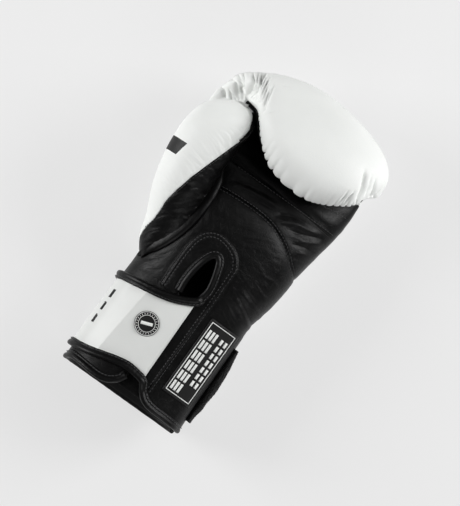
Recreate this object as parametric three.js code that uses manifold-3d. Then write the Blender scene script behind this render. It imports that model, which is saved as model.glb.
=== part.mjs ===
// A left-hand boxing glove with a hook-and-loop wrist strap, lying on its back with the palm up.
// Millimetres. +Y runs from the cuff to the knuckles, +X to the little finger, +Z out of the palm.
// The main form is one tube that runs up the hand and then turns over through half a circle, as a
// banana does, and closes in the gathered seam along the fingertips. Every panel, pad, strap and
// binding is a sheet or a tube laid on that form, so they all follow the same sizes.
import * as THREE from "three";
import { mergeVertices } from "three/addons/utils/BufferGeometryUtils.js";
import Module from "manifold-3d";

const wasm = await Module();
wasm.setup();

// Overall sizes
const GLOVE_LENGTH = 316; // cuff end to the top of the knuckles
const KNUCKLE_REACH = 58; // finger fold to the top of the knuckles
const FIST_LEFT = 88; // centre line to the index-finger side
const FIST_RIGHT = 81; // centre line to the little-finger side
const FIST_THICKNESS = 121; // back of the hand to the front of the curled fingers
const FOLD_HEIGHT = 62; // height of the finger fold over the floor
const FOLD_SLANT = 0.088; // the fold runs nearer the cuff on the little-finger side
const CUFF_LEFT = 61;
const CUFF_RIGHT = 56;
const CUFF_BOTTOM = 9; // the back of the cuff clears the floor by this
const PALM_TOP = 83; // highest point of the palm's heel
const SQUARENESS = 2.5; // exponent of the rounded sections
const DOME_OVERHANG = 27; // how far the curled fingers come back over the palm
const SIDE_LAG = 0.056; // the sides turn round the fold by this share less than the middle
const SHOULDER = 0.54; // share by which the knuckles fall away on the index-finger side
const REST_Y = 205; // middle of the flat that the glove lies on, from the cuff end

// Walls, pads and clearances
const GAP = 0.35; // between neighbouring pieces
const BACK_PAD = 25;
const SIDE_PAD = 13;
const TIP_PAD = 9;
const CUFF_WALL = 7;
const PALM_WALL = 3.5;
const FINGER_WALL = 2.5;
const PATCH_WALL = 1.4;
const STRAP_WALL = 2;
const THUMB_PAD = 8;
const THUMB_WALL = 3;
const BINDING_RADIUS = 2.6;
const WELT_RADIUS = 3;

// Straps, labels and the cuff's lower parts
const STRAP_START = 15.2; // strap's lower edge at the thumb side, from the cuff end
const STRAP_WIDTH = 71.4;
const TAB_BULGE = 5.5; // the strap's free end stands off the cuff by this
const HEM = 3.6; // middle of the binding round the back of the cuff, from its end
const LABEL_WIDTH = 28.5;
const LABEL_LENGTH = 74.5;
const BADGE_RADIUS = 11;
const FACING = 0.9; // thickness of the label and the badge
const TONGUE_WIDTH = 41;
const TONGUE_LENGTH = 61;

// Where one piece gives way to the next, from the cuff end
const PAD_START = 103; // the padded back begins above the cuff
const SEAM_UPPER = 222; // cross seam under the curled fingers
const PAD_SPLIT = 1; // station where the back's pad ends and the knuckles' begins: the finger fold

// Main form from the cuff to the finger fold. along: share of the way to the fold. left, right:
// share of the way from the cuff's half width to the fist's. back: 0 at the cuff's bottom, 1 on the
// floor. wide: height of the widest line, as a share of FOLD_HEIGHT. palm: height as a share of
// PALM_TOP. square: exponent of the palm side as a share of SQUARENESS.
const HAND_ROWS = [
  { along: 0.0, left: 0.0, right: 0.04, back: 0.0, wide: 0.71, palm: 0.952, square: 0.96 },
  { along: 0.388, left: 0.0, right: -0.02, back: 0.15, wide: 0.71, palm: 0.964, square: 0.96 },
  { along: 0.45, left: 0.03, right: -0.04, back: 0.4, wide: 0.7, palm: 0.982, square: 1.0 },
  { along: 0.543, left: 0.22, right: 0.14, back: 0.85, wide: 0.68, palm: 1.0, square: 1.04 },
  { along: 0.659, left: 0.62, right: 0.26, back: 1.15, wide: 0.65, palm: 0.985, square: 1.08 },
  { along: 0.775, left: 0.87, right: 0.44, back: 1.3, wide: 0.62, palm: 0.92, square: 1.12 },
  { along: 0.872, left: 0.98, right: 0.6, back: 1.32, wide: 0.6, palm: 0.84, square: 1.2 },
  { along: 0.95, left: 1.0, right: 0.66, back: 1.2, wide: 0.6, palm: 0.745, square: 1.5 },
];
// Main form round the finger fold. turn: degrees from the back of the hand, 90 at the top and 180
// at the front. left, right: shares of the fist's half widths. reach: distance from the fold as a
// share of KNUCKLE_REACH, and from the top round to the front more and more of what
// FIST_THICKNESS leaves over the fold. wide, inner: radius of the widest line and of the inside
// of the fold, as shares of KNUCKLE_REACH.
const FIST_ROWS = [
  { turn: 0, left: 0.992, right: 0.888, reach: 1.09, wide: 0.42, inner: 0.125, square: 1.8 },
  { turn: 30, left: 0.954, right: 0.908, reach: 1.075, wide: 0.42, inner: 0.125, square: 1.8 },
  { turn: 60, left: 0.932, right: 0.948, reach: 1.03, wide: 0.42, inner: 0.13, square: 1.8 },
  { turn: 90, left: 0.91, right: 0.984, reach: 1.0, wide: 0.42, inner: 0.14, square: 1.8 },
  { turn: 120, left: 0.833, right: 0.979, reach: 1.004, wide: 0.45, inner: 0.14, square: 1.8 },
  { turn: 150, left: 0.69, right: 0.921, reach: 1.008, wide: 0.48, inner: 0.15, square: 1.8 },
  { turn: 180, left: 0.532, right: 0.865, reach: 0.998, wide: 0.52, inner: 0.18, square: 1.8 },
];
// Side seams between the back and the palm, as angles round the section: 0 at the back, 90 at the
// little-finger side, 180 at the palm, -90 at the thumb side. station: 0 to 1 up the hand, 1 to 2
// round the fold, 2 to 3 over the fingertips.
const SEAM_ROWS = [
  { station: 0.0, right: 76, left: -94 },
  { station: 0.4, right: 76, left: -94 },
  { station: 0.8, right: 78, left: -100 },
  { station: 0.94, right: 80, left: -116 },
  { station: 1.0, right: 98, left: -136 },
  { station: 1.1, right: 128, left: -140 },
  { station: 1.5, right: 128, left: -134 },
  { station: 1.85, right: 104, left: -104 },
  { station: 2.0, right: 90, left: -90 },
];
// Folds of the gathered leather round the finger fold, and puckers along the fingertip seam
const GATHER_FOLDS = 7;
const GATHER_DEPTH_LEFT = 1.7;
const GATHER_DEPTH_RIGHT = 1.2;
const SCALLOPS = 8;
const SCALLOP_DEPTH = 1.1;

// Thumb. along: share of the way from the cuff end to THUMB_END. x: share of FIST_LEFT. z: share of
// FOLD_HEIGHT. wide, deep: shares of THUMB_HALF. seam: angle of the seam round the section.
const THUMB_END = 268;
const THUMB_HALF = 26;
const THUMB_ROWS = [
  { along: 0.4, x: -0.58, z: 0.86, wide: 0.35, deep: 0.5, seam: 280 },
  { along: 0.46, x: -0.6, z: 0.9, wide: 0.6, deep: 0.66, seam: 256 },
  { along: 0.53, x: -0.62, z: 0.98, wide: 0.76, deep: 0.82, seam: 216 },
  { along: 0.61, x: -0.69, z: 1.08, wide: 0.89, deep: 0.94, seam: 192 },
  { along: 0.7, x: -0.75, z: 1.18, wide: 0.97, deep: 1.02, seam: 170 },
  { along: 0.79, x: -0.775, z: 1.27, wide: 1.0, deep: 1.02, seam: 146 },
  { along: 0.87, x: -0.77, z: 1.33, wide: 0.96, deep: 0.94, seam: 122 },
  { along: 0.935, x: -0.72, z: 1.35, wide: 0.82, deep: 0.8, seam: 100 },
  { along: 0.975, x: -0.675, z: 1.35, wide: 0.56, deep: 0.58, seam: 92 },
  { along: 0.994, x: -0.65, z: 1.35, wide: 0.28, deep: 0.3, seam: 90 },
  { along: 1.0, x: -0.645, z: 1.35, wide: 0.0, deep: 0.0, seam: 90 },
];
const THUMB_UNDER = 40; // angle where the two thumb panels meet underneath

// Paths over the palm. across: -1 on the thumb side and 1 on the little-finger side of the form.
// along: share of the way from the cuff end to the finger fold.

// The wrist strap's edges. angle: round the section, over the palm from the slit, past the thumb side
// (270) and the back (360) to the little-finger side. low, high: shares of STRAP_WIDTH by which the
// edges lie above its two ends.
const STRAP_EDGES = [
  { angle: 175, low: 0.103, high: 0.272 },
  { angle: 181, low: 0.14, high: 0.185 },
  { angle: 185, low: 0.146, high: 0.143 },
  { angle: 193, low: 0.126, high: 0.102 },
  { angle: 203, low: 0.087, high: 0.073 },
  { angle: 222, low: 0.03, high: 0.042 },
  { angle: 241, low: 0.006, high: 0.02 },
  { angle: 270, low: 0.0, high: 0.0 },
  { angle: 315, low: 0.006, high: -0.003 },
  { angle: 360, low: 0.025, high: 0.006 },
  { angle: 420, low: 0.053, high: 0.034 },
];
// The binding goes on from the strap's top edge round the slot in the palm.
const SLOT_EDGE = [
  { across: 0.168, along: 0.425 },
  { across: 0.195, along: 0.459 },
  { across: 0.165, along: 0.495 },
  { across: 0.111, along: 0.536 },
  { across: 0.071, along: 0.56 },
  { across: 0.013, along: 0.569 },
  { across: -0.057, along: 0.557 },
  { across: -0.125, along: 0.523 },
  { across: -0.163, along: 0.482 },
  { across: -0.179, along: 0.44 },
  { across: -0.172, along: 0.4 },
];
// The slit from the slot to the cuff end, down its thumb side and up its little-finger side
const SLIT_THUMB_SIDE = [
  { across: -0.03, along: 0.345 },
  { across: -0.03, along: 0.11 },
];
const SLIT_FINGER_SIDE = [
  { across: 0.155, along: 0.08 },
  { across: 0.08, along: 0.105 },
  { across: 0.09, along: 0.388 },
  { across: 0.147, along: 0.411 },
];
// Open edges of the palm at the cuff, from the slit to both sides
const CUFF_EDGE_FINGER_SIDE = [
  { across: 0.223, along: 0.064 },
  { across: 0.29, along: 0.048 },
  { across: 0.374, along: 0.037 },
  { across: 0.51, along: 0.031 },
  { across: 0.714, along: 0.03 },
  { across: 0.883, along: 0.028 },
];
const CUFF_EDGE_THUMB_SIDE = [
  { across: -0.096, along: 0.073 },
  { across: -0.16, along: 0.049 },
  { across: -0.245, along: 0.032 },
  { across: -0.356, along: 0.0215 },
  { across: -0.508, along: 0.019 },
  { across: -0.729, along: 0.023 },
  { across: -0.915, along: 0.024 },
];
const CUFF_ENDS = { finger: 68, thumb: -95, turn: 80, low: 0.025 };
// Welt between the thumb and the palm
const WELT_PATH = [
  { across: -0.982, along: 0.406 },
  { across: -0.907, along: 0.4355 },
  { across: -0.795, along: 0.4705 },
  { across: -0.676, along: 0.5135 },
  { across: -0.576, along: 0.558 },
  { across: -0.487, along: 0.6045 },
  { across: -0.419, along: 0.6585 },
  { across: -0.392, along: 0.712 },
  { across: -0.403, along: 0.761 },
  { across: -0.439, along: 0.802 },
];
// Seam across the heel of the palm
const HEEL_SEAM = [
  { across: -1.11, along: 0.722 },
  { across: -0.696, along: 0.733 },
  { across: -0.284, along: 0.758 },
  { across: 0.049, along: 0.77 },
  { across: 0.301, along: 0.771 },
  { across: 0.489, along: 0.759 },
  { across: 0.685, along: 0.733 },
  { across: 0.863, along: 0.699 },
  { across: 1.048, along: 0.662 },
  { across: 1.435, along: 0.6 },
];
// Outline of the patch round the slot, with its leg down the slit
const PATCH_OUTLINE = [
  { across: -0.477, along: 0.382 },
  { across: -0.462, along: 0.479 },
  { across: -0.395, along: 0.56 },
  { across: -0.27, along: 0.6075 },
  { across: -0.104, along: 0.6325 },
  { across: 0.071, along: 0.633 },
  { across: 0.226, along: 0.618 },
  { across: 0.327, along: 0.585 },
  { across: 0.356, along: 0.538 },
  { across: 0.355, along: 0.066 },
  { across: 0.12, along: 0.072 },
  { across: 0.13, along: 0.386 },
];
const LABEL_PLACE = { across: 0.695, along: 0.252 };
const BADGE_PLACE = { across: -0.284, along: 0.25 };
const TONGUE_PLACE = { across: 0.098, along: 0.153 };
const TAB_ANGLES = { from: 65, to: 98 };

const rad = THREE.MathUtils.degToRad;
const mix = THREE.MathUtils.lerp;
const clamp = THREE.MathUtils.clamp;
const PIVOT_Y = GLOVE_LENGTH - KNUCKLE_REACH;
const CLEAR_BINDING = BINDING_RADIUS + 3 * GAP;
const STRAP_FIRST = STRAP_EDGES[0].angle;
const STRAP_LAST = STRAP_EDGES.at(-1).angle;

// Reads a column at a place in a table by a smooth curve through its rows.
function read(rows, key, column, at) {
  const last = rows.length - 1;
  let i = 0;
  while (i < last - 1 && at > rows[i + 1][key]) i++;
  const slope = (k) => {
    const a = rows[Math.max(k - 1, 0)];
    const b = rows[Math.min(k + 1, last)];
    return (b[column] - a[column]) / (b[key] - a[key]);
  };
  const p = rows[i];
  const q = rows[i + 1];
  const span = q[key] - p[key];
  const t = clamp((at - p[key]) / span, 0, 1);
  const t2 = t * t;
  const t3 = t2 * t;
  const start = (2 * t3 - 3 * t2 + 1) * p[column] + (t3 - 2 * t2 + t) * span * slope(i);
  return start + (3 * t2 - 2 * t3) * q[column] + (t3 - t2) * span * slope(i + 1);
}

// Both tables as sizes in millimetres by station, which is 0 to 1 up the hand, 1 to 2 round the
// fold and 2 to 3 over the fingertips. outer, wide and inner are distances from the finger fold.
const SECTIONS = [
  ...HAND_ROWS.map((row) => ({
    station: row.along,
    left: mix(CUFF_LEFT, FIST_LEFT, row.left),
    right: mix(CUFF_RIGHT, FIST_RIGHT, row.right),
    outer: FOLD_HEIGHT - CUFF_BOTTOM * (1 - row.back),
    wide: FOLD_HEIGHT * (1 - row.wide),
    inner: FOLD_HEIGHT - PALM_TOP * row.palm,
    square: SQUARENESS * row.square,
  })),
  ...FIST_ROWS.map((row) => ({
    station: 1 + row.turn / 180,
    left: FIST_LEFT * row.left,
    right: FIST_RIGHT * row.right,
    outer: mix(KNUCKLE_REACH, FIST_THICKNESS - FOLD_HEIGHT, Math.max(row.turn / 90 - 1, 0)) * row.reach,
    wide: KNUCKLE_REACH * row.wide,
    inner: KNUCKLE_REACH * row.inner,
    square: SQUARENESS * row.square,
  })),
];

const power = (value, exponent) => Math.sign(value) * Math.abs(value) ** exponent;
const foldLine = (x) => PIVOT_Y - FOLD_SLANT * x;

// Sizes of the section at a station. An inset takes its sides, back and palm in.
function section(station, inset) {
  const size = (column) => read(SECTIONS, "station", column, Math.min(station, 2));
  const { side = 0, back = 0, palm = 0 } = inset;
  const left = size("left") - side;
  const right = size("right") - side;
  return {
    middle: (right - left) / 2,
    half: (right + left) / 2,
    outer: size("outer") - back,
    wide: size("wide"),
    inner: size("inner") + palm,
    square: size("square"),
  };
}

// How far the folds of the gathered leather push the sides out round the finger fold.
function gather(station, angle) {
  const side = Math.sin(rad(angle));
  const share = clamp(station - 1, 0, 1);
  const wave = Math.cos(2 * Math.PI * GATHER_FOLDS * share) * Math.sqrt(Math.sin(Math.PI * share));
  return (side < 0 ? GATHER_DEPTH_LEFT : GATHER_DEPTH_RIGHT) * wave * side * side;
}

// A point of the main form. angle: 0 back, 90 little finger, 180 palm, -90 or 270 thumb side. An
// inset takes its faces in, and its folds field says how much of the gathers shows.
function mainForm(station, angle, inset) {
  const s = section(station, inset);
  const turn = rad(angle);
  const cos = Math.cos(turn);
  const { folds = 0, tip = 0 } = inset;
  const half = s.half + folds * gather(station, angle);
  const x = s.middle + half * power(Math.sin(turn), 2 / SQUARENESS);
  const reach = cos >= 0 ? s.outer - s.wide : s.wide - s.inner;
  const full = s.wide + reach * power(cos, 2 / (cos >= 0 ? SQUARENESS : s.square));
  const rise = Math.sin(Math.PI * clamp(station - 1, 0, 1));
  const r = mix(full, s.inner, SHOULDER * rise * clamp(-x / FIST_LEFT, 0, 1) ** 1.75);
  if (station <= 1) return new THREE.Vector3(x, station * foldLine(x), FOLD_HEIGHT - r);
  const ends = Math.abs((x - s.middle) / s.half) ** 2.5;
  const round = Math.PI * Math.min(station - 1, 1) * (1 - SIDE_LAG * ends);
  const y = foldLine(x) + r * Math.sin(round);
  const z = FOLD_HEIGHT - r * Math.cos(round);
  if (station <= 2) return new THREE.Vector3(x, y, z);
  // Over the fingertips back and palm come together in a puckered seam that hangs over the palm.
  const over = (Math.PI / 2) * (station - 2);
  const wave = folds * SCALLOP_DEPTH * Math.cos(2 * Math.PI * SCALLOPS * (angle / 180 + 0.5));
  const hang = (DOME_OVERHANG - tip + wave) * Math.max(0, 1 - ends);
  return new THREE.Vector3(x, y - hang * Math.sin(over), mix(FOLD_HEIGHT + s.wide, z, Math.cos(over)));
}

const lifted = (height) => ({ side: -height, back: -height, palm: -height });

// Where a row of a path over the palm lies, seen from above.
function overPalm(row) {
  const s = section(Math.max(row.along, 0), {});
  const x = s.middle + s.half * row.across;
  return new THREE.Vector2(x, row.along * foldLine(x));
}

// The point at a height over the palm's side of the form, over x and y.
function overForm({ x, y }, height) {
  const station = y / foldLine(x);
  const s = section(station, lifted(height));
  const share = clamp((x - s.middle) / s.half, -1, 1);
  const angle = 180 - THREE.MathUtils.radToDeg(Math.asin(power(share, SQUARENESS / 2)));
  return mainForm(station, angle, lifted(height));
}

// The point at a height over the cuff, at an angle and a distance from the cuff end.
function roundCuff({ angle, y }, height) {
  const { x } = mainForm(y / PIVOT_Y, angle, lifted(height));
  return mainForm(y / foldLine(x), angle, lifted(height));
}

// Merges shared vertices, drops faces of no area and turns the skin to face outwards.
function closedSkin(points, faces) {
  const raw = new THREE.BufferGeometry();
  raw.setAttribute("position", new THREE.Float32BufferAttribute(points, 3));
  raw.setIndex(faces);
  const merged = mergeVertices(raw, 1e-3);
  const position = merged.attributes.position;
  const corners = [0, 1, 2].map(() => new THREE.Vector3());
  const kept = [];
  let volume = 0;
  for (let k = 0; k < faces.length; k += 3) {
    const face = Array.from(merged.index.array.slice(k, k + 3));
    if (new Set(face).size < 3) continue;
    kept.push(face);
    face.forEach((vertex, n) => corners[n].fromBufferAttribute(position, vertex));
    volume += corners[0].dot(corners[1].cross(corners[2]));
  }
  merged.setIndex(kept.flatMap((face) => (volume < 0 ? face.reverse() : face)));
  return merged;
}

// A closed skin from two grids of points, outer and inner, and the walls between their edges.
function thickSheet(across, along, outer, inner) {
  const points = [];
  for (const side of [outer, inner])
    for (let j = 0; j <= along; j++)
      for (let i = 0; i <= across; i++) points.push(...side(i / across, j / along).toArray());
  const layer = (across + 1) * (along + 1);
  const at = (side, i, j) => side * layer + j * (across + 1) + i;
  const faces = [];
  const quad = (a, b, c, d) => faces.push(a, b, c, a, c, d);
  for (let j = 0; j < along; j++)
    for (let i = 0; i < across; i++) {
      quad(at(0, i, j), at(0, i + 1, j), at(0, i + 1, j + 1), at(0, i, j + 1));
      quad(at(1, i, j), at(1, i, j + 1), at(1, i + 1, j + 1), at(1, i + 1, j));
    }
  for (let i = 0; i < across; i++) {
    quad(at(0, i, 0), at(1, i, 0), at(1, i + 1, 0), at(0, i + 1, 0));
    quad(at(0, i, along), at(0, i + 1, along), at(1, i + 1, along), at(1, i, along));
  }
  for (let j = 0; j < along; j++) {
    quad(at(0, 0, j), at(0, 0, j + 1), at(1, 0, j + 1), at(1, 0, j));
    quad(at(0, across, j), at(1, across, j), at(1, across, j + 1), at(0, across, j + 1));
  }
  return closedSkin(points, faces);
}

// A closed skin from rings of points, with a fan over each end.
function ringedBody(rings) {
  const sides = rings[0].length;
  const points = rings.flat().flatMap((point) => point.toArray());
  const faces = [];
  for (let j = 0; j < rings.length - 1; j++)
    for (let i = 0; i < sides; i++) {
      const a = j * sides + i;
      const b = j * sides + ((i + 1) % sides);
      faces.push(a, b, b + sides, a, b + sides, a + sides);
    }
  const end = (rings.length - 1) * sides;
  for (let i = 1; i < sides - 1; i++) faces.push(0, i + 1, i, end, end + i, end + i + 1);
  return closedSkin(points, faces);
}

// Only positions, with shared vertices merged, as the solids need.
function bare(geometry) {
  geometry.deleteAttribute("normal");
  geometry.deleteAttribute("uv");
  return mergeVertices(geometry, 1e-3);
}

// A round tube along a path of points.
function tube(points, radius, steps) {
  const outline = new THREE.Shape();
  outline.absarc(0, 0, radius, 0, 2 * Math.PI);
  const extrudePath = new THREE.CatmullRomCurve3(points, false, "centripetal");
  return bare(new THREE.ExtrudeGeometry(outline, { steps, extrudePath, curveSegments: 3 }));
}

function solid(geometry) {
  const vertProperties = geometry.attributes.position.array;
  const triVerts = new Uint32Array(geometry.index.array);
  return new wasm.Manifold(new wasm.Mesh({ numProp: 3, vertProperties, triVerts }));
}

// The largest piece of a cut solid, as a geometry again.
function geometryOf(manifold) {
  const pieces = manifold.decompose().sort((p, q) => q.volume() - p.volume());
  const mesh = pieces[0].getMesh();
  const geometry = new THREE.BufferGeometry();
  geometry.setAttribute("position", new THREE.BufferAttribute(mesh.vertProperties, 3));
  geometry.setIndex(new THREE.BufferAttribute(mesh.triVerts, 1));
  return geometry;
}

function without(manifold, ...others) {
  return others.reduce((left, other) => left.subtract(other), manifold);
}

// An upright prism on an outline, from the back of the cuff to far over the palm.
function palmPrism(outline) {
  const prism = new THREE.ExtrudeGeometry(new THREE.Shape(outline), {
    depth: FIST_THICKNESS,
    bevelEnabled: false,
  });
  return solid(bare(prism.translate(0, 0, CUFF_BOTTOM)));
}

// Stations of a sheet's rows: even steps up the hand, one step to each crest and hollow of the
// gathers round the fold, and even steps over the tips.
function stationSteps(from, to, onHand, onTips) {
  const steps = [];
  const run = (low, high, count) => {
    for (let i = 0; i <= count; i++) steps.push(mix(low, high, i / count));
  };
  if (onHand > 0) run(from, Math.min(to, 1), onHand);
  if (to > 1) run(1, 2, 2 * GATHER_FOLDS);
  if (to > 2) run(2, to, onTips);
  return steps.filter((step, i) => i === 0 || step > steps[i - 1]);
}

const seamAt = (column, station) => read(SEAM_ROWS, "station", column, Math.min(station, 2));

// A wall of the main form. edges gives its first and last angle at a station, and the two insets
// its outer and inner face. Leather that would reach under the floor is pressed flat on it.
function formWall(steps, across, edges, outerInset, innerInset) {
  const face = (insetAt, lowest) => (u, v) => {
    const station = steps[Math.round(v * (steps.length - 1))];
    const [first, last] = edges(station);
    const point = mainForm(station, mix(first, last, u), insetAt(station));
    point.z = Math.max(point.z, lowest);
    return point;
  };
  return thickSheet(across, steps.length - 1, face(outerInset, 0), face(innerInset, 1));
}

// The hollow for the hand inside the pads, as insets of the main form. more takes it in further.
function hollow(station, more = 0) {
  const start = PAD_START / PIVOT_Y;
  const grown = THREE.MathUtils.smoothstep(station, start - 0.05, start + 0.3);
  return {
    side: mix(CUFF_WALL, SIDE_PAD, grown) + more,
    back: mix(CUFF_WALL, BACK_PAD, grown) + more,
    palm: PALM_WALL + GAP + more,
    tip: TIP_PAD + more,
  };
}

const backEdges = (more) => (station) => [
  seamAt("left", station) - 2 * more,
  seamAt("right", station) + 2 * more,
];

// The padded back, knuckles and fingertips, or a run of stations of them. more makes it a little
// fuller on every side.
function knucklePad(across, more = 0, from = PAD_START / PIVOT_Y, to = 3) {
  const steps = stationSteps(from, to, from < 1 ? 8 : 0, 4);
  const outer = () => ({ ...lifted(more), folds: 1 });
  return solid(formWall(steps, across, backEdges(more), outer, (station) => hollow(station, more)));
}

function cuffBack(across, more = 0) {
  const start = HEM + CLEAR_BINDING;
  const steps = stationSteps(start / PIVOT_Y, (PAD_START - GAP) / PIVOT_Y, 4, 0);
  const outer = () => lifted(more);
  return solid(formWall(steps, across, backEdges(more), outer, (station) => hollow(station, more)));
}

const palmEdges = (station) => [seamAt("right", station) + 0.5, 359.5 + seamAt("left", station)];
const palmInset = (wall) => () => ({ side: wall, palm: wall, tip: wall + 2 * GAP + SCALLOP_DEPTH });

function palmSheet() {
  const steps = stationSteps(1 / PIVOT_Y, SEAM_UPPER / PIVOT_Y, 12, 0);
  return formWall(steps, 14, palmEdges, palmInset(0), palmInset(PALM_WALL));
}

function fingerPanel() {
  const steps = stationSteps((SEAM_UPPER + GAP) / PIVOT_Y, 2.96, 3, 3);
  return formWall(steps, 10, palmEdges, palmInset(0), palmInset(FINGER_WALL));
}

// A point of the thumb, with its wall taken in by an inset.
function thumbForm(along, angle, inset) {
  const size = (column) => read(THUMB_ROWS, "along", column, along);
  const turn = rad(angle);
  const scale = THUMB_HALF - inset;
  const x = size("x") * FIST_LEFT + size("wide") * scale * power(Math.sin(turn), 0.9);
  const z = size("z") * FOLD_HEIGHT - size("deep") * scale * power(Math.cos(turn), 0.9);
  return new THREE.Vector3(x, along * (THUMB_END - inset), z);
}

const thumbStart = THUMB_ROWS[0].along;

// A wall of the thumb between two angles, which its seam sets.
function thumbWall(across, edges, wall) {
  const rows = 12;
  const face = (inset) => (u, v) => {
    const along = mix(thumbStart, 1, 1 - (1 - v) ** 1.5);
    const [first, last] = edges(read(THUMB_ROWS, "along", "seam", along));
    return thumbForm(along, mix(first, last, u), inset);
  };
  return thickSheet(across, rows, face(0), face(wall));
}

function thumbBody(from, to, inset) {
  const rings = [];
  for (let j = 0; j <= 10; j++) {
    const along = mix(from, to, j / 10);
    rings.push(Array.from({ length: 16 }, (_, i) => thumbForm(along, 22.5 * i, inset)));
  }
  return solid(ringedBody(rings));
}

// The main form as one solid, a little fuller, to cut the thumb where it meets the hand.
function handBody(more) {
  const steps = stationSteps(PAD_START / PIVOT_Y, 2.97, 10, 4);
  const ring = (station) =>
    Array.from({ length: 36 }, (_, i) => mainForm(station, 10 * i, lifted(more)));
  return solid(ringedBody(steps.map(ring)));
}

// Paths of the bindings
const onStrap = BINDING_RADIUS + GAP;
const onPalm = -PALM_WALL / 3;
const strapEdge = (column, angle) => {
  const share = (column === "high" ? 1 : 0) + read(STRAP_EDGES, "angle", column, angle);
  return STRAP_START + STRAP_WIDTH * share;
};
const strapPath = (column) =>
  Array.from({ length: 25 }, (_, i) => {
    const angle = mix(STRAP_LAST, STRAP_FIRST, i / 24);
    return roundCuff({ angle, y: strapEdge(column, angle) }, onStrap);
  });
const palmPath = (rows, height) => rows.map((row) => overForm(overPalm(row), height));
const upperPath = [...strapPath("high"), ...palmPath(SLOT_EDGE, onPalm)];
const lowerPath = [
  ...strapPath("low"),
  ...palmPath(CUFF_EDGE_FINGER_SIDE, onPalm),
  ...[100, 90, CUFF_ENDS.turn].map((angle) =>
    roundCuff({ angle, y: CUFF_ENDS.low * PIVOT_Y }, onPalm),
  ),
];
const backPath = [
  ...Array.from({ length: 13 }, (_, i) =>
    roundCuff({ angle: mix(CUFF_ENDS.finger, CUFF_ENDS.thumb, i / 12), y: HEM }, onPalm),
  ),
  ...palmPath(CUFF_EDGE_THUMB_SIDE.toReversed(), onPalm),
];
const weltPath = palmPath(WELT_PATH, 0);

const clearOfWelt = solid(tube(weltPath, WELT_RADIUS + GAP, 24));
const clearOfBack = [knucklePad(16, 2 * GAP), cuffBack(8, GAP)];
const clearOfHand = handBody(2 * GAP);
const thumbHollow = thumbBody(0.48, 0.93, THUMB_PAD + GAP);

// Moves each corner of an outline outwards, square to the line between its two neighbours.
function widened(outline, distance) {
  const count = outline.length;
  return outline.map((corner, i) => {
    const along = outline[(i + 1) % count].clone().sub(outline[(i + count - 1) % count]).normalize();
    return new THREE.Vector2(corner.x + along.y * distance, corner.y - along.x * distance);
  });
}

// The slit in the palm with its slot, open to the cuff's end, as wide as its bindings leave it
const slitOutline = [
  ...SLOT_EDGE,
  ...SLIT_THUMB_SIDE,
  ...CUFF_EDGE_THUMB_SIDE,
  { across: -1.2, along: 0.022 },
  { across: -1.7, along: -0.08 },
  { across: 1.7, along: -0.08 },
  { across: 1.4, along: 0.025 },
  ...CUFF_EDGE_FINGER_SIDE.toReversed(),
  ...SLIT_FINGER_SIDE,
];
const slit = palmPrism(widened(slitOutline.map(overPalm), CLEAR_BINDING));
const belowSeam = (shift) => {
  const seam = HEEL_SEAM.map((row) => overPalm(row).add(new THREE.Vector2(0, shift)));
  const corners = [{ across: 1.7, along: -0.08 }, { across: -1.7, along: -0.08 }];
  return palmPrism([...seam, ...corners.map(overPalm)]);
};

const palm = without(solid(palmSheet()), slit, ...clearOfBack, clearOfWelt, thumbHollow);
const fingers = without(solid(fingerPanel()), ...clearOfBack);

// A layer over the palm, or under it, between two heights on a rectangle seen from above.
function palmLayer(middle, width, length, across, along, low, high) {
  const face = (height) => (u, v) =>
    overForm({ x: middle.x + width * (u - 0.5), y: middle.y + length * (v - 0.5) }, height);
  return solid(thickSheet(across, along, face(high), face(low)));
}

function strapSheet() {
  const face = (height) => (u, v) => {
    const angle = mix(STRAP_FIRST + 1, STRAP_LAST, u);
    const low = strapEdge("low", angle) + 1.2 * CLEAR_BINDING;
    const high = strapEdge("high", angle) - 1.2 * CLEAR_BINDING;
    return roundCuff({ angle, y: mix(low, high, v) }, height);
  };
  return solid(thickSheet(44, 2, face(GAP + STRAP_WALL), face(GAP)));
}

// The free end of the strap, which stands off the cuff in a soft bulge.
function strapTab() {
  const face = (height) => (u, v) => {
    const swell = TAB_BULGE * Math.sin(Math.PI * u) ** 0.6 * Math.sin(Math.PI * mix(0.12, 0.88, v));
    const y = STRAP_START + STRAP_WIDTH * mix(0.03, 1.07, v);
    return roundCuff({ angle: mix(TAB_ANGLES.from, TAB_ANGLES.to, u), y }, height + swell);
  };
  return solid(thickSheet(8, 8, face(GAP + STRAP_WALL), face(GAP)));
}

const patchOutline = PATCH_OUTLINE.map(overPalm);
const patchBox = new THREE.Box2().setFromPoints(patchOutline);
const patchMiddle = patchBox.getCenter(new THREE.Vector2());
const patchSize = patchBox.getSize(new THREE.Vector2());
const patchWidth = patchSize.x + 2;
const patchSheet = palmLayer(patchMiddle, patchWidth, patchSize.y + 2, 8, 14, 2 * GAP, 2 * GAP + PATCH_WALL);
const patch = patchSheet.intersect(palmPrism(patchOutline)).subtract(slit);

const badgeMiddle = overPalm(BADGE_PLACE);
const badgeOutline = Array.from({ length: 24 }, (_, i) =>
  new THREE.Vector2(BADGE_RADIUS, 0).rotateAround(new THREE.Vector2(), rad(15 * i)).add(badgeMiddle),
);
const badgeSpan = 2 * BADGE_RADIUS + 2;
const onLeather = 2 * GAP + STRAP_WALL;
const badgeSheet = palmLayer(badgeMiddle, badgeSpan, badgeSpan, 4, 2, onLeather, onLeather + FACING);
const badge = badgeSheet.intersect(palmPrism(badgeOutline));
const label = palmLayer(overPalm(LABEL_PLACE), LABEL_WIDTH, LABEL_LENGTH, 6, 3, 2 * GAP, 2 * GAP + FACING);
// The tongue closes the slit from inside, right under the bindings.
const tongueTop = onPalm - BINDING_RADIUS - GAP;
const tongueFoot = tongueTop - PATCH_WALL;
const tongue = palmLayer(overPalm(TONGUE_PLACE), TONGUE_WIDTH, TONGUE_LENGTH, 6, 6, tongueFoot, tongueTop);

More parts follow.
